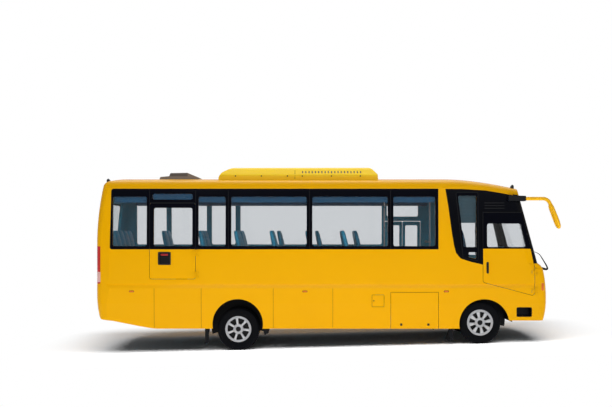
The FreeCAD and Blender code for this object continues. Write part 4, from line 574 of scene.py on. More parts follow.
exit_beads.append(sheet([oblong(PILLARS[0] - PANE_GAP, PILLARS[1] + PANE_GAP, EXIT_TOP_Z - 0.010,
                                EXIT_TOP_Z + 0.0125)], right_wall, BEAD))
make_piece("emergency_door_seal", exit_beads, bead_rubber, "emergency_door", smooth=False)
door_bead = [(3.092, 1.990, 0.002), (3.106, 1.990, 0.002), (3.106, 2.700, 0.002), (3.862, 2.700, 0.002),
             (3.862, 2.719, 0.002), (3.092, 2.719, 0.002)]
make_piece("driver_door_seal", sheet([rounded(door_bead)], right_wall, BEAD), bead_rubber, "driver_door",
           smooth=False)


# Running gear and cab fittings. Black chassis paint, rubber, cast iron, moulded plastics and
# zinc-coated steel. Each finish is a little uneven, and rougher where dust settles.
chassis_paint = moulded("chassis_paint", "#08080A", "#111113", 0.6, 3.0, 0.2, 0.15)
cast_iron = moulded("cast_iron", "#1C1B1A", "#2A2826", 0.7, 4.0, 0.5, 0.2)
rubber = moulded("moulded_rubber", "#06080B", "#0C0E12", 0.7, 3.0, 0.15, 0.15)
black_plastic = moulded("black_plastic", "#07080B", "#0D0E12", 0.45, 1.5, 0.08, 0.15)
grey_plastic = moulded("grey_plastic", "#24272B", "#2F3236", 0.55, 1.5, 0.1, 0.2)
dress(chassis_paint, "chassis_frame", "leaf_springs", "drive_shaft", "front_axle_beam", "rear_axle",
      "tie_rod", "knuckle_right", "knuckle_left", "fuel_tank", "luggage_bays", "seat_frames")
dress(cast_iron, "engine")
dress(moulded("aluminised_steel", "#6A645C", "#8B867E", 0.45, 8.0, 0.1, 0.5, 0.8), "exhaust")
dress(rubber, "mudflaps", "wipers")
dress(fired_ceramic("cab_panel", "#03040A", 0.12), "cab_trim")
dress(black_plastic, "emergency_handle", "steering_wheel", "steering_column", "mirror_roots", "cab_step")
dress(grey_plastic, "dashboard")
dress(moulded("floor_vinyl", "#1C2126", "#262C31", 0.6, 4.0, 0.2, 0.2), "floor_deck")
dress(moulded("duct_board", "#093F60", "#105476", 0.6, 3.0, 0.1, 0.1), "luggage_racks")


# Tyres. Steel-belted tyres of black rubber, six in all. Each is one closed skin turned from a half
# section with its bead, sidewall ribs, shoulder and four grooves. The shoulders are notched into lugs.
TYRE_SECTION = ((0.248, 0.092), (0.262, 0.104), (0.278, 0.1135), (0.285, 0.1155), (0.288, 0.117),
                (0.292, 0.116), (0.310, 0.1195), (0.331, 0.122), (0.352, 0.1222), (0.372, 0.119),
                (0.390, 0.113), (0.403, 0.104), (0.410, 0.094), (0.4145, 0.084), (0.4175, 0.072),
                (0.4195, 0.062), (0.420, 0.056), (0.420, 0.051), (0.4115, 0.049), (0.4115, 0.043),
                (0.4203, 0.041), (0.4208, 0.019), (0.412, 0.017), (0.412, 0.011), (0.421, 0.009))
TYRE_STEPS = 216
LUG_STEPS = 3
LUG_DEPTH = 0.007
SHOULDER_R, SHOULDER_W = 0.413, 0.06
TYRE_R = 0.421
TRACK = 0.988
TWIN = 0.280
AXLES = dict(front=3.068, rear=-1.775)
SIDES = dict(right=-1, left=1)


def turned_tyre(x, y):
    """Closed tyre about an axle along Y: section points (r, w) turn to (x + r cos a, y + w, R + r sin a),
    and r drops by the lug depth on every third step across the shoulders."""
    half = np.array(TYRE_SECTION)
    section = np.concatenate([half, [(TYRE_R, 0.0)], half[::-1] * (1, -1)])
    turn = np.linspace(0, 2 * math.pi, TYRE_STEPS, endpoint=False)[:, None]
    radius = np.tile(section[:, 0], (TYRE_STEPS, 1))
    shoulder = (section[:, 0] > SHOULDER_R) & (np.abs(section[:, 1]) > SHOULDER_W)
    radius[::LUG_STEPS, shoulder] -= LUG_DEPTH
    points = np.stack([x + radius * np.cos(turn), y + np.tile(section[:, 1], (TYRE_STEPS, 1)),
                       TYRE_R + radius * np.sin(turn)], axis=-1).reshape(-1, 3)
    return points, quads(TYRE_STEPS, len(section), close_rows=True, close_columns=True)


# Tyre rubber is nearly black and dull, with a dusty drift.
tyre_rubber = moulded("tyre_rubber", "#040508", "#0A0B0F", 0.8, 1.2, 0.15, 0.08, patch_mm=60.0)
for word, side in SIDES.items():
    tyre = make_piece("tyre_front_tread_" + word, turned_tyre(AXLES["front"], side * TRACK), tyre_rubber,
                      "wheel_front_" + word)
    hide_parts("tyre_front_" + word)
    twins = [turned_tyre(AXLES["rear"], side * y) for y in (TRACK, TRACK - TWIN)]
    tyre = make_piece("tyres_rear_tread_" + word, twins, tyre_rubber, "wheels_rear_" + word)
    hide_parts("tyres_rear_" + word)


# Wheel covers and hub caps. The covers are silver-lacquered plastic, the rims and discs behind them are
# black steel, and each cover has a black domed cap pressed over its hub.
COVER_Y = 1.066
HUB_FACE_Y = 1.087
WHEEL_BODY = dict(front="wheel_front_", rear="wheels_rear_")


def crowned(outline, place, rise, back=-0.003, rings=6):
    """Closed button form. The outline shrinks to its centre by cos a while its height grows to
    rise sin a, a from 0 to a right angle, and a flat back closes it."""
    outline = np.asarray(outline, float)
    centre = outline.mean(axis=0)
    count = len(outline)
    layers = [place(outline, back)]
    for angle in np.linspace(0, math.pi / 2, rings + 1)[:-1]:
        layers.append(place(centre + (outline - centre) * math.cos(angle), rise * math.sin(angle)))
    points = np.concatenate(layers + [place(centre[None], rise), place(centre[None], back)])
    faces = quads(rings + 1, count, close_columns=True).tolist()
    last, crown, base = rings * count, (rings + 1) * count, (rings + 1) * count + 1
    faces += [(last + i, last + (i + 1) % count, crown) for i in range(count)]
    faces += [((i + 1) % count, i, base) for i in range(count)]
    return points, faces


def circle(u, v, radius, steps=32):
    """Points (u + r cos a, v + r sin a) for a full turn of a."""
    return arc(u, v, radius, np.linspace(0, 2 * math.pi, steps, endpoint=False))


def upright(side, y, x=0.0, z=0.0):
    """Sets points (u, v), counted from (x, z), on an upright plane along the bus, a depth outboard."""
    def place(points, depth):
        u, v = np.asarray(points, float).T
        return np.stack([x + u, np.full(len(u), side * (y + depth)), z + v], axis=-1)
    return place


# Silver lacquer gives a soft metallic sheen from fine flakes. Inboard of the cover it is black paint.
lacquer, tree = blank_material("silver_lacquer")
at = (add(tree, "TexCoord"), "Object")
out = add(tree, "Math", {"operation": "ABSOLUTE"}, {0: (add(tree, "SeparateXYZ", links={0: at}), "Y")})
flake = add(tree, "TexNoise", {"Scale": 900.0}, {"Vector": at})
silver = add(tree, "Mix", {"data_type": "RGBA", FIRST: linear("#999BA0"), SECOND: linear("#B4B6BA")},
             {SHARE: flake})
colour = add(tree, "Mix", {"data_type": "RGBA", FIRST: linear("#0A0B0C")},
             {SHARE: zone(tree, (out, "GREATER_THAN", COVER_Y)), SECOND: silver})
finish_surface(tree, flake, {"Metallic": 0.35, "Roughness": 0.34, "Specular IOR Level": 0.3},
               {"Base Color": colour}, strength=0.1, relief_mm=0.2)
dress(lacquer, "wheel_front_right", "wheel_front_left", "wheels_rear_right", "wheels_rear_left")
for end, x in AXLES.items():
    for word, side in SIDES.items():
        cap = crowned(circle(0, 0, 0.052), upright(side, HUB_FACE_Y, x, TYRE_R), 0.014)
        make_piece("hub_cap_" + end + "_" + word, cap, black_plastic, WHEEL_BODY[end] + word)


# Seats. Foam pads in coach moquette, with backs of teal coated fabric. Each pad is one closed surface:
# a rounded slab whose faces crown, whose sides draw in, and whose stitched channels sink into the front.
SEAT_WALL = 1.095
SEAT_W = 0.880
SEAT_GAP = 0.005
RIGHT_FRONTS = [0.925 - 0.720 * i for i in range(5)]
LEFT_FRONTS = [1.260 - 0.837 * i for i in range(6)]
BENCH_FRONT = -3.790
BENCH_INSET = 0.07
CUSHION_D = 0.430
CUSHION_Z = (1.543, 1.540)
CUSHION_HALF, BACK_HALF = 0.045, 0.046
BACK_FOOT, BACK_HEAD = (-0.045, 1.500), (-0.190, 2.348)
CHANNEL_DEPTH = 0.007
CHANNEL_W, BAND_W = 0.035, 0.02
PLAN_POWER, SIDE_POWER = 5, 3.6
CROWN, DRAW = 0.16, 0.03
PAD_COLUMNS, PAD_ROWS = 13, 19
FLAT_SHARE = 0.6


def pad(low, high, y0, y1, half_thick, channels=(-0.5, 0.5), band=None, bow=0.010):
    """Closed pad round a centre line from low to high in side view. With u across and v along, both -1
    to 1: width share (1 - |v|^5)^(1/5), thickness share (1 - |u|^3.6)^(1/3.6), a crown of cosines, and
    channels exp(-((u - c) / w)^2) deep, which end where the plan starts to round."""
    around = np.sin(np.linspace(-math.pi / 2, math.pi / 2, PAD_COLUMNS))
    fine = [c + step * CHANNEL_W for c in channels for step in (-2, -1, 0, 1, 2)]
    front = np.sort(np.concatenate([around, fine]))
    back = around[-2:0:-1]
    u = np.concatenate([front, back])
    facing_out = np.concatenate([np.ones(len(front)), -np.ones(len(back))])
    v = np.sin(np.linspace(-math.pi / 2, math.pi / 2, PAD_ROWS)[1:-1])
    if band is not None:
        v = np.sort(np.concatenate([v, [band + step * BAND_W for step in (-2.25, -1, 0, 1, 2.25)]]))
    share = (1 - np.abs(v) ** PLAN_POWER) ** (1 / PLAN_POWER)
    thick = (1 - np.abs(u) ** SIDE_POWER) ** (1 / SIDE_POWER) * facing_out
    crown = 1 + CROWN * np.cos(u * math.pi / 2)[None, :] * np.cos(v * math.pi / 2)[:, None]
    sunk = sum(np.exp(-((u - c) / CHANNEL_W) ** 2) for c in channels)[None, :] * np.ones((len(v), 1))
    if band is not None:
        sunk = np.maximum(sunk, np.exp(-((v - band) / BAND_W) ** 2)[:, None])
    sunk = sunk * (facing_out > 0)[None, :] * CHANNEL_DEPTH
    out = share[:, None] * thick[None, :] * half_thick * crown - sunk * (share > FLAT_SHARE)[:, None]
    drawn = 1 - DRAW * np.cos(v * math.pi / 2)
    across = u[None, :] * (share * drawn)[:, None] * (y1 - y0) / 2 + (y0 + y1) / 2
    low, high = np.array(low), np.array(high)
    way = (high - low) / np.linalg.norm(high - low)
    up = np.array((way[1], -way[0]))
    line = (low + high) / 2 + v[:, None] * (high - low) / 2 + (1 - v[:, None] ** 2) * bow * up
    flat = line[:, None, :] + out[..., None] * up
    points = np.stack([flat[..., 0], across, flat[..., 1]], axis=-1).reshape(-1, 3)
    rows, columns = len(v), len(u)
    ends = [(end[0], (y0 + y1) / 2, end[1]) for end in (low, high)]
    faces = quads(rows, columns, close_columns=True).tolist()
    first, last, top = rows * columns, rows * columns + 1, (rows - 1) * columns
    faces += [((i + 1) % columns, i, first) for i in range(columns)]
    faces += [(top + i, top + (i + 1) % columns, last) for i in range(columns)]
    return settle(np.concatenate([points, ends])), faces


def moquette(name, ground, figure, thread, figure_mm):
    """Cut-pile cloth, soft and matt: a woven ground with a rib every 5 mm, and a scattered figure. The
    ribs are drawn coarser than the real 1 mm, so that they show."""
    material, tree = blank_material(name)
    at = (add(tree, "TexCoord"), "Object")
    cells = add(tree, "TexVoronoi", {"Scale": 1000 / figure_mm, "Randomness": 0.8}, {"Vector": at})
    split = add(tree, "SeparateColor", links={0: (cells, "Color")})
    mark = zone(tree, (cells, "LESS_THAN", 0.28), (split, "GREATER_THAN", 0.55))
    ribs = (add(tree, "TexWave", {"Scale": 60.0, "Distortion": 1.5}, {"Vector": at}), "Fac")
    base = add(tree, "Mix", {"data_type": "RGBA", FIRST: linear(ground), SECOND: linear(thread)},
               {SHARE: ribs})
    colour = add(tree, "Mix", {"data_type": "RGBA", SECOND: linear(figure)}, {SHARE: mark, FIRST: base})
    pile = add(tree, "TexNoise", {"Scale": 1000 / 1.5}, {"Vector": at})
    relief = add(tree, "Math", {"operation": "ADD"}, {0: ribs, 1: pile})
    finish_surface(tree, relief, {"Roughness": 0.85, "Sheen Weight": 0.25, "Sheen Roughness": 0.4,
                                  "Specular IOR Level": 0.15},
                   {"Base Color": colour}, strength=0.5, relief_mm=0.4)
    return material


seat_cloth = moquette("coach_moquette", "#0C3450", "#2F94A4", "#124660", 26.0)
seat_vinyl = moulded("coated_fabric", "#066A88", "#1086A6", 0.5, 1.6, 0.25, 0.25)
places = [(x, -SEAT_WALL, -SEAT_WALL + SEAT_W, 2) for x in RIGHT_FRONTS]
places += [(x, SEAT_WALL - SEAT_W, SEAT_WALL, 2) for x in LEFT_FRONTS]
places.append((BENCH_FRONT, -SEAT_WALL + BENCH_INSET, SEAT_WALL - BENCH_INSET, 5))
cushions, backs = [], []
for x, y0, y1, count in places:
    foot = x - CUSHION_D
    for y in np.linspace(y0, y1, count + 1)[:-1]:
        left, right = y + SEAT_GAP, y + (y1 - y0) / count - SEAT_GAP
        cushions.append(pad((x, CUSHION_Z[0]), (foot + 0.004, CUSHION_Z[1]), left, right, CUSHION_HALF))
        backs.append(pad((foot + BACK_FOOT[0], BACK_FOOT[1]), (foot + BACK_HEAD[0], BACK_HEAD[1]),
                         left, right, BACK_HALF, band=0.62, bow=0.018))
for name, forms, material, node in (("seat_cushion_pads", cushions, seat_cloth, "seat_cushions"),
                                    ("seat_back_pads", backs, seat_vinyl, "seat_backs")):
    piece = make_piece(name, forms, material)
    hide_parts(node)


# Driver's seat. A taller bucket in the same cloth with side bolsters, on a pressed steel pedestal whose
# foot spreads over the cab floor. The pads are the same closed surfaces, the pedestal a waisted box.
DRIVER_CUSHION = dict(low=(3.400, 1.580), high=(2.900, 1.575), y0=-0.850, y1=-0.350, half_thick=0.058,
                      channels=(-0.62, 0.62))
DRIVER_BACK = dict(low=(2.838, 1.560), high=(2.712, 2.392), y0=-0.842, y1=-0.358, half_thick=0.055,
                   channels=(-0.6, 0.6), band=0.55, bow=0.022)
PEDESTAL = dict(x0=2.960, x1=3.300, y0=-0.790, y1=-0.410, z0=1.141, z1=1.530)


def lofted(rings):
    """Closed bar: equal rings of points joined in turn, with a flat face at each end."""
    rows, around = len(rings), len(rings[0])
    ends = [tuple(range(around))[::-1], tuple(range((rows - 1) * around, rows * around))]
    return np.concatenate(rings), quads(rows, around, close_columns=True).tolist() + ends


def waisted(x0, x1, y0, y1, z0, z1, waist=0.12, rows=12):
    """Closed box with rounded plan corners whose sides draw in by waist times sin at mid height."""
    plan = oblong(x0, x1, y0, y1, 0.03)
    centre = plan.mean(axis=0)
    rings = []
    for level in np.linspace(0, 1, rows):
        ring = centre + (plan - centre) * (1 - waist * math.sin(math.pi * min(1, 1.15 * level)))
        rings.append(settle(np.column_stack([ring, np.full(len(ring), z0 + level * (z1 - z0))])))
    return lofted(rings)


driver_pads = make_piece("driver_seat_pads", [pad(**DRIVER_CUSHION), pad(**DRIVER_BACK)], seat_cloth)
make_piece("driver_seat_pedestal", waisted(**PEDESTAL), chassis_paint)
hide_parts("driver_seat")


# Panel joints. The skirt is hung in separate panels, and the shade in the gaps between them is painted
# as strips of darkened yellow. Each joint is a flat strip a few millimetres wide on the wall.
SKIRT = (0.402, 1.196)
JOINT_HALF = 0.0035
JOINT_SKIN = (-0.0005, 0.0006)
SKIRT_JOINTS = (-3.458, -2.520, -1.084, 0.104)
ENTRY_JOINTS = (1.264, 2.208)
# Darkened body yellow: painted shade for the shadow in the gaps between panels.
gap_shade_paint = moulded("painted_joint_shade", "#5A3D06", "#6E4C0A", 0.6, 1.5, 0.05, 0.1)
joints = [sheet([oblong(x - JOINT_HALF, x + JOINT_HALF, *SKIRT, radius=0)], place, JOINT_SKIN)
          for place, gaps in ((right_wall, SKIRT_JOINTS), (left_wall, SKIRT_JOINTS + ENTRY_JOINTS))
          for x in gaps]
make_piece("panel_joints", joints, gap_shade_paint, smooth=False)


# Side marker lamps. Amber plastic lenses on black bases, three along the skirt of each side. Each lens
# and each base is a crowned oblong on the wall.
MARKERS = ((right_wall, (-3.908, -0.452, 2.368)), (left_wall, (-3.908, -0.452, 2.600)))
MARKER_BASE = dict(half=0.050, levels=(1.116, 1.152), rise=0.006, radius=0.016)
MARKER_LENS = dict(half=0.043, levels=(1.121, 1.147), rise=0.013, radius=0.012)


def lens(name, colour, roughness=0.18, prism_mm=6.0):
    """Coloured clear plastic over a white reflector, bright and glossy, with moulded prisms in relief."""
    material, tree = blank_material(name)
    prisms = add(tree, "TexVoronoi", {"Scale": 1000 / prism_mm, "Randomness": 0.0},
                 {"Vector": (add(tree, "TexCoord"), "Object")})
    tone = add(tree, "MapRange", {"From Max": 0.7, "To Min": 0.75, "To Max": 1.0}, {"Value": prisms})
    colour = add(tree, "Mix", {"data_type": "RGBA", FIRST: linear("#000000"), SECOND: linear(colour)},
                 {SHARE: tone})
    finish_surface(tree, prisms, {"Roughness": roughness, "Coat Weight": 0.3, "Specular IOR Level": 0.3},
                   {"Base Color": colour}, strength=0.25, relief_mm=0.8)
    return material


def plate(u0, u1, v0, v1, place, rise, radius=0.006, rings=4):
    """A crowned oblong."""
    return crowned(oblong(u0, u1, v0, v1, radius), place, rise, rings=rings)


amber = lens("amber_lens", "#E07010")
for name, form, material in (("marker_bases", MARKER_BASE, black_plastic),
                             ("marker_lenses", MARKER_LENS, amber)):
    shapes = [plate(x - form["half"], x + form["half"], *form["levels"], place, form["rise"],
                    form["radius"], rings=6) for place, xs in MARKERS for x in xs]
    make_piece(name, shapes, material)


# Locks and handles. Black die-cast pieces screwed to the doors and flaps. Each is a crowned plate, and
# the pull handles are bowed grips on two feet.
FLAP_LOCKS = (1.470, 2.012)
LOCK_HALF, LOCK_Z = 0.022, (0.448, 0.494)
FUEL_LOCK = (0.922, 0.946)
DOOR_GRIP = dict(x=3.191, low=1.520, high=1.692)
ENTRY_GRIP = dict(x=2.005, low=1.05, high=1.19)
BOX_RIM, BOX_CLEAR = (-3.380, -3.124, 1.662, 1.920, 0.035), (-3.352, -3.152, 1.690, 1.892, 0.025)
PULL = (-3.326, -3.180, 1.846, 1.884)


def grip(u, v0, v1, half, place, stand, steps=20, around=12):
    """Closed bow from (u, v0) to (u, v1): its centre stands off by stand sin^0.5, and its section is an
    ellipse that widens towards the feet."""
    s = np.linspace(0.02, math.pi - 0.02, steps)
    turn = np.linspace(0, 2 * math.pi, around, endpoint=False)
    v = v0 + (v1 - v0) * (1 - np.cos(s)) / 2
    lift = stand * np.sin(s) ** 0.5
    width = half * (1.25 - 0.35 * np.sin(s))
    rings = []
    for level, out, wide in zip(v, lift, width):
        flat = np.column_stack([u + wide * np.cos(turn), np.full(around, level)])
        depths = out + 0.5 * half * np.sin(turn)
        rings.append(np.concatenate([place(flat[i:i + 1], depths[i]) for i in range(around)]))
    return lofted(rings)


die_cast = moulded("black_die_casting", "#08090B", "#101113", 0.4, 1.0, 0.05, 0.25)
locks = [plate(x - LOCK_HALF, x + LOCK_HALF, *LOCK_Z, right_wall, 0.010) for x in FLAP_LOCKS]
make_piece("flap_locks", locks, die_cast, "luggage_flap")
make_piece("fuel_flap_lock", crowned(circle(*FUEL_LOCK, 0.013), right_wall, 0.006), die_cast, "fuel_flap")
x, low, high = DOOR_GRIP.values()
door_handle = [plate(x - 0.025, x + 0.025, low - 0.030, high + 0.030, right_wall, 0.004, 0.02),
               grip(x, low, high, 0.013, right_wall, 0.026),
               crowned(circle(x, high + 0.012, 0.011), right_wall, 0.009)]
make_piece("driver_door_handle", door_handle, die_cast, "driver_door")
box_frame = sheet([oblong(*BOX_RIM), oblong(*BOX_CLEAR)], right_wall, (0.001, 0.010))
make_piece("emergency_box_frame", box_frame, die_cast, "emergency_door", smooth=False)
signal_red = moulded("signal_red_plastic", "#8E1418", "#A61A1E", 0.4, 1.0, 0.05, 0.3)
make_piece("emergency_pull", plate(*PULL, right_wall, 0.006, 0.012), signal_red, "emergency_door")
x, low, high = ENTRY_GRIP.values()
entry_handle = [plate(x - 0.020, x + 0.020, low - 0.030, high + 0.030, left_wall, 0.004, 0.015),
                grip(x, low, high, 0.011, left_wall, 0.024)]
make_piece("entry_handle", entry_handle, die_cast, "entry_leaf_front")


# Roof unit details. Air slots and cover screws along both flanks, a joint across the covers drawn in
# painted shade, and two round fans on top. Slots are dark sheets, screws and fans crowned discs, and
# wire guards flat rings.
LOOKS = dict(right=((0, 1, 0), lambda u, v: (u, -3.0, v)), left=((0, -1, 0), lambda u, v: (u, 3.0, v)),
             top=((0, 0, -1), lambda u, v: (u, v, 6.0)), front=((-1, 0, 0), lambda u, v: (7.0, u, v)),
             rear=((1, 0, 0), lambda u, v: (-7.0, u, v)))


def seen_surface(look, *names):
    """Sets (u, v) points on the named nodes as seen from one side: where a ray from a plane outside the
    bus meets them, moved out along the face's own normal by a depth."""
    way, start = LOOKS[look]
    points, faces, count = [], [], 0
    for name in names:
        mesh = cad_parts[name].data
        flat = np.empty(len(mesh.vertices) * 3)
        mesh.vertices.foreach_get("co", flat)
        points.append(flat.reshape(-1, 3))
        faces += [tuple(i + count for i in polygon.vertices) for polygon in mesh.polygons]
        count += len(mesh.vertices)
    tree = BVHTree.FromPolygons(np.concatenate(points).tolist(), faces)
    way = Vector(settle(way))

    def place(flat, depth):
        hits = []
        for u, v in np.asarray(flat, float):
            hit, normal, _, _ = tree.ray_cast(Vector(settle(start(u, v))), way)
            if hit is None:
                raise ValueError("no surface at %.3f, %.3f of %s" % (u, v, names))
            if normal.dot(way) > 0:
                normal = -normal
            hits.append(hit + normal * depth)
        return np.array(hits)
    return place


POD_SKIN = (-0.002, 0.001)
SLOTS_X, SLOT_HALF, SLOT_Z = np.linspace(-0.500, 0.690, 19), 0.011, (3.520, 3.572)
SCREWS_X, SCREW_Z, SCREW_R = (-1.870, -1.340, -0.810, -0.505, 0.090, 0.680), 3.462, 0.014
POD_JOINT = (-0.660, -0.652, 3.400, 3.585)
JOINT_BENDS = (3.44, 3.47, 3.50, 3.53, 3.56)
FANS = (-1.35, -0.10)
FAN_R, WELL_R, RING_STEP = 0.235, 0.240, 0.035
RING_W, BAR_HALF = 0.010, 0.004
pod_top = seen_surface("top", "air_conditioner")
slots, screws, pod_joint, guards = [], [], [], []
for place in (seen_surface("right", "air_conditioner"), seen_surface("left", "air_conditioner")):
    slots += [sheet([oblong(x - SLOT_HALF, x + SLOT_HALF, *SLOT_Z, 0.010)], place, POD_SKIN) for x in SLOTS_X]
    screws += [crowned(circle(x, SCREW_Z, SCREW_R, 16), place, 0.005, rings=3) for x in SCREWS_X]
    pod_joint.append(sheet([oblong(*POD_JOINT, radius=0)], place, POD_SKIN, levels=JOINT_BENDS))
make_piece("pod_slots", slots, die_cast, smooth=False)
make_piece("pod_screws", screws, die_cast)
# The joint across the roof unit's covers is drawn in the same painted shade.
make_piece("pod_joint", pod_joint, gap_shade_paint, smooth=False)
for x in FANS:
    for radius in FAN_R - RING_STEP * np.arange(6):
        ring = [circle(x, 0.0, radius, 40), circle(x, 0.0, radius - RING_W, 40)]
        guards.append(sheet(ring, pod_top, (0.002, 0.012)))
    for angle in np.arange(4) * math.pi / 4:
        along = np.array((math.cos(angle), math.sin(angle)))
        across = np.array((-along[1], along[0]))
        flat = oblong(-FAN_R, FAN_R, -BAR_HALF, BAR_HALF, radius=0)
        guards.append(sheet([(x, 0.0) + flat @ np.array((along, across))], pod_top, (0.001, 0.010)))
make_piece("fan_guards", guards, grey_plastic, smooth=False)
wells = [crowned(circle(x, 0.0, WELL_R, 40), pod_top, 0.002, rings=3) for x in FANS]
make_piece("fan_wells", wells, black_plastic)


# Clearance lamps. Small black plastic pods stand at the four top corners of the roof. Each is a crowned
# oblong on the roof's own surface.
CLEARANCE_LAMPS = [(x, y) for x in (-4.430, 3.750) for y in (-0.86, 0.86)]
POD_HALVES, POD_RISE = (0.032, 0.045), 0.074
roof_top = seen_surface("top", "roof_panel", "rear_panel", "front_panel")
pods = [plate(x - POD_HALVES[0], x + POD_HALVES[0], y - POD_HALVES[1], y + POD_HALVES[1], roof_top, POD_RISE,
              0.02, rings=6) for x, y in CLEARANCE_LAMPS]
make_piece("clearance_lamps", pods, die_cast)


# Ventilator. A cowl of weathered grey plastic, darker on its raised rear cap, with a moulded lid on
# top. The lid is a shallow crowned oblong on the cap.
CAP = (-2.905, 3.484)
LID = (-3.255, -2.915, -0.330, 0.330)
VENT_GRAIN_MM = 2.0
cap_plastic, tree = blank_material("ventilator_plastic")
where, _, split = level_coordinates(tree)
capped = zone(tree, ((split, "X"), "LESS_THAN", CAP[0]), ((split, "Z"), "GREATER_THAN", CAP[1]))
grain = add(tree, "TexNoise", {"Scale": 1000 / VENT_GRAIN_MM}, {"Vector": (where, "Object")})
base = add(tree, "Mix", {"data_type": "RGBA", FIRST: linear("#7A7778"), SECOND: linear("#8E8B8C")},
           {SHARE: grain})
colour = add(tree, "Mix", {"data_type": "RGBA", SECOND: linear("#606064")}, {SHARE: capped, FIRST: base})
finish_surface(tree, grain, {"Roughness": 0.6, "Specular IOR Level": 0.2}, {"Base Color": colour},
               strength=0.3, relief_mm=0.2)
dress(cap_plastic, "roof_hatch")
hatch_top = seen_surface("top", "roof_hatch")
make_piece("ventilator_lid", plate(*LID, hatch_top, 0.010, 0.05, rings=5), grey_plastic)


# Front face details. The screen has a fired black border, the grille and intake are barred, the lamps
# have bowls behind clear lenses, and a blank plate is screwed below the grille.
FACE_BULGE_R = 4.7746
SCREEN, SCREEN_CLEAR = (-1.062, 1.062, 1.708, 2.981, 0.06), (-1.005, 1.005, 1.800, 2.870, 0.09)
PLATE_HALF, PLATE_HEIGHT = 0.260, 0.112
OPENINGS = (dict(beside=0.58, half=0.512, levels=(1.206, 1.238, 1.270, 1.302), back=(0.518, 1.182, 1.328)),
            dict(beside=0.66, half=0.590, levels=(0.735, 0.780, 0.825), back=(0.598, 0.702, 0.858)))
LAMP_Z = 1.168
LAMP_BOWLS = ((0.748, 0.070), (0.908, 0.076))
BULB_R = 0.016
BAR_HALF_Z, BAR_HALF_Y = 0.007, 0.004
front_face = seen_surface("front", "front_panel", "headlamps", "windscreen")
screen_border = sheet([oblong(*SCREEN), oblong(*SCREEN_CLEAR)], front_face, SKIN, levels=(1.9, 2.2, 2.5, 2.8),
                      columns=np.linspace(-1.0, 1.0, 21))
make_piece("screen_border", screen_border, ceramic, smooth=False)


def before_opening(beside):
    """Sets points across an opening on the face's own curve: x at (u, v) is the face's x beside the
    opening at the same height, moved by the change of the face's bulge."""
    def place(points, depth):
        points = np.asarray(points, float)
        edge = front_face(np.column_stack([np.full(len(points), beside), points[:, 1]]), 0.0)
        x = edge[:, 0] * math.cos(RAKE) - edge[:, 2] * math.sin(RAKE)
        bulge = np.sqrt(FACE_BULGE_R ** 2 - points[:, 0] ** 2) - math.sqrt(FACE_BULGE_R ** 2 - beside ** 2)
        return settle(np.column_stack([x + bulge + depth, points]))
    return place


bars, grille_backs = [], []
for opening in OPENINGS:
    place, half, levels = before_opening(opening["beside"]), opening["half"], opening["levels"]
    for z in levels:
        bars.append(sheet([oblong(-half, half, z - BAR_HALF_Z, z + BAR_HALF_Z, 0.006)], place,
                          (-0.030, -0.006), columns=np.linspace(-half, half, 15)[1:-1]))
    for y in np.linspace(-half, half, 9)[1:-1]:
        bars.append(sheet([oblong(y - BAR_HALF_Y, y + BAR_HALF_Y, levels[0] - 0.018, levels[-1] + 0.018, 0)],
                          place, (-0.034, -0.012)))
    half, low, high = opening["back"]
    grille_backs.append(sheet([oblong(-half, half, low, high, 0.02)], place, (-0.046, -0.040),
                              columns=np.linspace(-half, half, 11)[1:-1]))
make_piece("grille_bars", bars, black_plastic, smooth=False)
make_piece("grille_backs", grille_backs, chassis_paint, smooth=False)
plate_white = moulded("plate_enamel", "#D9D9D4", "#E6E6E1", 0.35, 1.0, 0.03, 0.3)


def number_plate(name, low, face, body):
    """A blank plate 520 by 112 mm from a height up, and its black frame, bent with the face."""
    corners = box_corners(-PLATE_HALF, PLATE_HALF, low, low + PLATE_HEIGHT, 0.012)
    bends = (-0.15, 0, 0.15)
    make_piece(name, sheet([rounded(corners)], face, (0.002, 0.008), columns=bends), plate_white, body,
               smooth=False)
    ring = sheet([ring_outline(corners, 0.012), ring_outline(corners, -0.004)], face, (0.001, 0.011),
                 columns=bends)
    make_piece(name + "_frame", ring, black_plastic, body, smooth=False)


number_plate("front_plate", 0.960, front_face, "bus_body")

# Vacuum-metallised plastic is mirror-bright, with the slightest unevenness.
chrome = moulded("vacuum_chrome", "#C8CACC", "#DADCDE", 0.14, 3.0, 0.02, 0.5, 0.95)
bowls, bulbs, housings, indicators = [], [], [], []
for side in SIDES.values():
    lamp = [(0.648, 1.074, 0.03), (1.052, 1.018, 0.03), (1.080, 1.300, 0.02), (0.648, 1.262, 0.03)]
    strip = [(1.000, 1.050, 0.01), (1.040, 1.044, 0.01), (1.062, 1.284, 0.01), (1.012, 1.278, 0.01)]
    lamp, strip = ([(side * y, z, radius) for y, z, radius in form][::side] for form in (lamp, strip))
    housings.append(sheet([rounded(lamp)], front_face, (-0.044, -0.040),
                          columns=side * np.linspace(0.70, 1.02, 8)))
    for y, radius in LAMP_BOWLS:
        bowls.append(crowned(circle(side * y, LAMP_Z, radius, 40), front_face, -0.022, back=-0.039, rings=8))
        bulbs.append(crowned(circle(side * y, LAMP_Z, BULB_R, 20), front_face, -0.006, back=-0.034, rings=5))
    indicators.append(crowned(rounded(strip), front_face, -0.012, back=-0.036, rings=4))
make_piece("lamp_housings", housings, grey_plastic, smooth=False)
make_piece("lamp_bowls", bowls, chrome)
make_piece("lamp_bulbs", bulbs, plate_white)
make_piece("indicators", indicators, amber)
dress(tinted_glass("clear_polycarbonate", "#F2F2F2"), "headlamps")


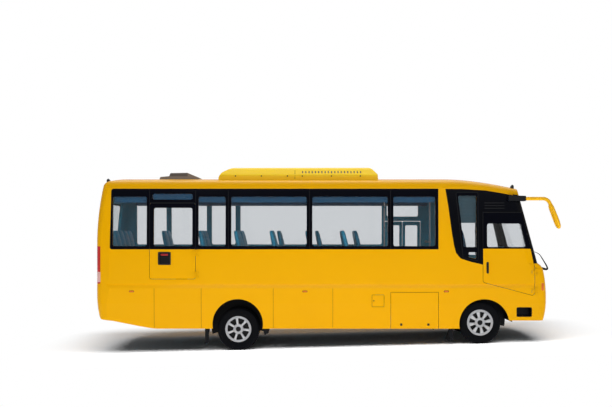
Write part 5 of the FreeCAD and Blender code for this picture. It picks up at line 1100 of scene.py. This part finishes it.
# Rear details. The window has a fired border, the wrapped lamps are red with a pale band, and the lid
# carries a pull and a blank plate. Reflectors and a high brake lamp are crowned red oblongs.
REAR_PANE, REAR_CLEAR = (-0.896, 0.896, 2.084, 2.986, 0.088), (-0.830, 0.830, 2.150, 2.900, 0.08)
REFLECTORS_Y, REFLECTOR_HALF, REFLECTOR_Z = (-0.96, 0.96), 0.045, (0.760, 0.800)
BOOT_PULL, BRAKE_LAMP = (-0.110, 0.110, 0.950, 1.006), (-0.180, 0.180, 3.030, 3.062)
rear_face = seen_surface("rear", "rear_panel", "boot_lid", "rear_window", "tail_lamps")
rear_border = sheet([oblong(*REAR_PANE), oblong(*REAR_CLEAR)], rear_face, SKIN, levels=(2.3, 2.5, 2.7),
                    columns=np.linspace(-0.8, 0.8, 17))
make_piece("rear_border", rear_border, ceramic, smooth=False)

# Tail lamp lens: glossy red plastic over prisms 8 mm across, with a pale band between two heights.
PALE_BAND = (1.318, 1.520)
tail_red, tree = blank_material("tail_lamp_lens")
_, level, split = level_coordinates(tree)
prisms = add(tree, "TexVoronoi", {"Scale": 120.0, "Randomness": 0.0}, {"Vector": level})
pale = zone(tree, ((split, "Z"), "GREATER_THAN", PALE_BAND[0]), ((split, "Z"), "LESS_THAN", PALE_BAND[1]))
zones = add(tree, "Mix", {"data_type": "RGBA", FIRST: linear("#C81E1C"), SECOND: linear("#E8B4AE")},
            {SHARE: pale})
tone = add(tree, "MapRange", {"From Max": 0.7, "To Min": 0.8, "To Max": 1.0}, {"Value": prisms})
colour = add(tree, "Mix", {"data_type": "RGBA", FIRST: linear("#000000")}, {SHARE: tone, SECOND: zones})
finish_surface(tree, prisms, {"Roughness": 0.2, "Coat Weight": 0.2, "Specular IOR Level": 0.25},
               {"Base Color": colour}, strength=0.2, relief_mm=1.0)
dress(tail_red, "tail_lamps")
number_plate("rear_plate", 0.770, rear_face, "boot_lid")
make_piece("boot_pull", plate(*BOOT_PULL, rear_face, 0.006, 0.02), die_cast, "boot_lid")
red_reflex = lens("red_reflex", "#B01014")
reflectors = [plate(y - REFLECTOR_HALF, y + REFLECTOR_HALF, *REFLECTOR_Z, rear_face, 0.006)
              for y in REFLECTORS_Y]
make_piece("rear_reflectors", reflectors, red_reflex)
make_piece("high_brake_lamp", plate(*BRAKE_LAMP, rear_face, 0.010, 0.012), red_reflex)


# Wheel cover spokes. Pressed ribs of the same silver plastic stand proud of the covers: eight broad
# petals at the front, seven narrower spokes at the rear. Each is a crowned tapering form.
SPOKES = dict(front=dict(count=8, first=9.0, inner=0.100, outer=0.222, inner_half=0.020, outer_half=0.042),
              rear=dict(count=7, first=96.0, inner=0.096, outer=0.222, inner_half=0.020, outer_half=0.026))


def spokes(count, first, inner, outer, inner_half, outer_half):
    """Outlines of tapering spokes in equal steps from a first turn in degrees, their outer ends round:
    (u, v) turned by a is (u cos a - v sin a, u sin a + v cos a)."""
    flat = rounded([(inner, -inner_half, 0.008), (outer, -outer_half, 0.6 * outer_half),
                    (outer, outer_half, 0.6 * outer_half), (inner, inner_half, 0.008)], 5)
    for angle in np.radians(first + 360 / count * np.arange(count)):
        yield flat @ np.array(((math.cos(angle), math.sin(angle)), (-math.sin(angle), math.cos(angle))))


silver_cover = moulded("silver_plastic", "#B4B6BA", "#C6C8CC", 0.3, 0.8, 0.02, 0.35, 0.3)
for end, sizes in SPOKES.items():
    for word, side in SIDES.items():
        place = upright(side, HUB_FACE_Y, AXLES[end], TYRE_R)
        forms = [crowned(outline, place, 0.024, back=-0.004, rings=4) for outline in spokes(**sizes)]
        make_piece("cover_spokes_" + end + "_" + word, forms, silver_cover, WHEEL_BODY[end] + word)


# Wheel housings. Black moulded liners close the arches behind and over the wheels. Each is a flat ring
# sector inboard of the tyres, and a curved strip over the tread that runs out to the wall.
LINER = 0.005
ARCH_TURNS = np.radians(np.linspace(-14, 194, 40))
ARCH_INNER = 0.33
ARCHES = dict(front=(0.510, 0.640), rear=(0.560, 0.600))
APRON_Y = 1.120


def apron(x, side, y0, y1, radius, steps=48):
    """Closed curved strip: (x + r cos a, y, R + r sin a) for half a turn, at two radii r, from y0 to y1."""
    section = ((radius, y0), (radius, y1), (radius + LINER, y1), (radius + LINER, y0))
    return lofted([[(x + r * math.cos(turn), side * y, TYRE_R + r * math.sin(turn)) for r, y in section]
                   for turn in np.linspace(0, math.pi, steps)])


housings = []
for side in SIDES.values():
    for end, (y, outer) in ARCHES.items():
        sector = np.concatenate([arc(0, 0, outer, ARCH_TURNS), arc(0, 0, ARCH_INNER, ARCH_TURNS)[::-1]])
        housings.append(sheet([sector], upright(side, y, AXLES[end], TYRE_R), (0.0, LINER)))
        housings.append(apron(AXLES[end], side, y, APRON_Y, outer - 0.006))
make_piece("wheel_housings", housings, black_plastic, smooth=False)


# Splash wings. Each mud flap carries a side wing that trails below the skirt, and a small one leads the
# rear wheel. Each is a flat rubber sheet just inside the wall, its corners turned by 10 mm.
WING_Y = 1.096
WINGS = (((-2.452, 0.400), (-2.446, 0.084), (-2.400, 0.084), (-2.372, 0.150), (-2.372, 0.400)),
         ((-1.290, 0.400), (-1.262, 0.250), (-1.180, 0.300), (-1.150, 0.400)),
         ((2.420, 0.400), (2.440, 0.200), (2.490, 0.134), (2.510, 0.160), (2.510, 0.400)))


def inside_wall(side):
    """Sets (u, v) points on an upright plane of the level body, a depth outboard."""
    flat = upright(side, WING_Y)
    return lambda points, depth: settle(flat(points, depth))


wings = [sheet([rounded([(u, v, 0.01) for u, v in corners])], inside_wall(side), (0.0, 0.006))
         for side in SIDES.values() for corners in WINGS]
make_piece("splash_wings", wings, rubber, smooth=False)


# Cab side details. The quarter pane has a black crossbar and a pleated blind behind its upper half, the
# panel over the door is louvred, a repeater lamp sits on each front corner, and a rail divides the left
# cab window.
LOUVRES_Z, LOUVRE_X, LOUVRE_HALF = (2.792, 2.846, 2.898), (3.130, 3.530), 0.009
REPEATER = (4.268, 4.322, 1.150, 1.300)
DIVIDER, CATCH = (3.430, 3.446, 1.800, 3.000), (3.424, 3.452, 2.310, 2.360)
BLIND_Y = 1.085
FOLD = 0.002
FOLDS_PER_METRE = 90
cab_bar = [(2.650, 2.018, 0.004), (2.696, 1.812, 0.03), (2.812, 1.785, 0.004), (2.812, 1.915, 0.01),
           (2.968, 1.915, 0.004), (2.968, 2.018, 0.004)]
make_piece("quarter_bar", sheet([rounded(cab_bar)], right_wall, (0.0013, 0.0020), levels=BELT), ceramic,
           smooth=False)


def blind_folds(points, depth):
    """Sets (u, v) points on the blind, which waves in and out with height by a sine."""
    u, v = np.asarray(points, float).T
    return settle(np.stack([u, -(BLIND_Y + depth + FOLD * np.sin(v * FOLDS_PER_METRE)), v], axis=-1))


blind_cloth = moquette("roller_blind", "#36525C", "#3C5A64", "#304A54", 40.0)
blind = [(2.566, 3.104, 0.01), (2.630, 2.500, 0.01), (2.996, 2.500, 0.01), (2.996, 3.104, 0.01)]
blind = sheet([rounded(blind)], blind_folds, (0.0, 0.002), levels=np.linspace(2.52, 3.06, 28))
make_piece("driver_blind", blind, blind_cloth)
louvre_face = seen_surface("right", "cab_trim", "side_wall_right")
louvres = [plate(*LOUVRE_X, z - LOUVRE_HALF, z + LOUVRE_HALF, louvre_face, 0.007, 0.008) for z in LOUVRES_Z]
make_piece("cab_louvres", louvres, black_plastic)
for word in SIDES:
    corner_face = seen_surface(word, "front_panel", "headlamps")
    make_piece("repeater_" + word, plate(*REPEATER, corner_face, 0.008, 0.014), amber)
divider = [sheet([oblong(*DIVIDER)], left_wall, (-0.012, -0.0065), levels=BELT),
           plate(*CATCH, left_wall, 0.008)]
make_piece("cab_slide_rail", divider, black_plastic, smooth=False)


# Interior fittings. Two brushed steel stanchions with turned flanges stand beside the passenger door,
# and a rail runs from the front one to the wall at waist height. Each is a straight round bar.
FLANGE = [(0.0, 2.2), (0.006, 2.2), (0.012, 1.1), (0.02, 1.0)]
POLES_X, POLE_Y, POLE_R = (2.300, 1.300), 0.560, 0.016
DECK_Z, CEILING_Z = 1.145, 3.240
RAIL_Z, RAIL_Y, RAIL_R = 2.100, (0.545, 1.090), 0.014


def tube(start, end, radius, around=16):
    """Closed round bar along a straight run, its radius times the flange's shares near both ends."""
    start, end = np.array(start), np.array(end)
    length = np.linalg.norm(end - start)
    way = (end - start) / length
    side = np.cross(way, (0.3, 0.9, 0.2))
    side = side / np.linalg.norm(side)
    turn = np.linspace(0, 2 * math.pi, around, endpoint=False)[:, None]
    ring = radius * (np.cos(turn) * side + np.sin(turn) * np.cross(way, side))
    shares = FLANGE + [(length - along, share) for along, share in reversed(FLANGE)]
    return lofted([settle(start + way * along + ring * share) for along, share in shares])


brushed_steel = moulded("brushed_steel", "#8A8C8E", "#A4A6A8", 0.3, 1.0, 0.02, 0.4, 0.8)
poles = [tube((x, POLE_Y, DECK_Z), (x, POLE_Y, CEILING_Z), POLE_R) for x in POLES_X]
poles.append(tube((POLES_X[0], RAIL_Y[0], RAIL_Z), (POLES_X[0], RAIL_Y[1], RAIL_Z), RAIL_R))
make_piece("stanchions", poles, brushed_steel)


# Wiper arms. Each blade hangs on a black steel arm that comes out of the ledge, turns sharply up and
# leans back to the screen. Each arm is a tapering round bar swept along a Bezier curve.
def bent_bar(corners, radii, steps=40, around=12):
    """Closed bar along sum(C(3, k) t^k (1 - t)^(3 - k) corner k), ringed square to its run by a radius
    that runs from the first value to the last."""
    t = np.linspace(0, 1, steps)[:, None]
    shares = ((1 - t) ** 3, 3 * t * (1 - t) ** 2, 3 * t ** 2 * (1 - t), t ** 3)
    line = sum(share * np.array(corner) for share, corner in zip(shares, corners))
    way = np.gradient(line, axis=0)
    side = np.cross(way, (0.05, 1, 0.05))
    over = np.cross(way, side)
    side, over = (v / np.linalg.norm(v, axis=1, keepdims=True) for v in (side, over))
    turn = np.linspace(0, 2 * math.pi, around, endpoint=False)[None, :, None]
    radius = np.linspace(*radii, steps)[:, None, None]
    rings = line[:, None] + radius * (np.cos(turn) * side[:, None] + np.sin(turn) * over[:, None])
    return lofted(settle(rings))


ARMS_Y = (-0.620, 0.300)
arms = []
for y in ARMS_Y:
    elbow, tip = (4.594, y, 1.524), (4.412, y + 0.02, 1.826)
    arms.append(bent_bar([(4.405, y, 1.578), elbow, elbow, tip], (0.026, 0.009)))
    arms.append(bent_bar([tip, (4.385, y + 0.02, 1.875), (4.320, y + 0.04, 1.900), (4.240, y + 0.05, 1.925)],
                         (0.008, 0.005), steps=16))
make_piece("wiper_arms", arms, black_plastic)


# Mirror glass. Silvered glass in a yellow rim, set in the rear of each mirror head and turned in
# towards the driver. Each is a flat facet along the head's rings, cut on their inboard half.
HEAD = np.array(((4.434, 2.840, 0.044, 0.060), (4.467, 2.750, 0.050, 0.092), (4.520, 2.610, 0.052, 0.102),
                 (4.568, 2.480, 0.050, 0.098), (4.590, 2.420, 0.040, 0.076)))
HEAD_Y = 1.220
MIRROR_RIM = dict(turns=(-8, 78), ends=(0.03, 0.97), reach=(-0.004, 0.0145))
MIRROR_GLASS = dict(turns=(-1, 71), ends=(0.08, 0.92), reach=(0.008, 0.0157))


def facet(side, turns, ends, reach, rows=24):
    """Closed slab along a head whose rings (x, z, depth, half width) are ellipses. At each ring it spans
    the chord between two turns a, at (x - depth cos a, HEAD_Y - half sin a), and reaches out along the
    chord's normal from the first to the second distance."""
    share = np.linspace(*ends, rows)
    x, z, depth, half = (np.interp(share, np.linspace(0, 1, len(HEAD)), column) for column in HEAD.T)
    start, stop = (np.column_stack([x - depth * math.cos(a), side * (HEAD_Y - half * math.sin(a))])
                   for a in np.radians(turns))
    chord = stop - start
    normal = -side * np.column_stack([-chord[:, 1], chord[:, 0]]) / np.linalg.norm(chord, axis=1)[:, None]
    near, far = (normal * distance for distance in reach)
    flat = (start + near, stop + near, stop + far, start + far)
    return lofted(settle(np.stack([np.column_stack([corner, z]) for corner in flat], axis=1)))


mirror_silver = moulded("mirror_silver", "#D4D6D8", "#DEE0E2", 0.1, 5.0, 0.01, 0.5, 0.98)
for name, form, material in (("mirror_rims", MIRROR_RIM, mirror_enamel),
                             ("mirror_glasses", MIRROR_GLASS, mirror_silver)):
    make_piece(name, [facet(side, **form) for side in SIDES.values()], material, smooth=False)

low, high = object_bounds()
{"cad": [list(cad_low), list(cad_high)], "visual": [list(low), list(high)]}
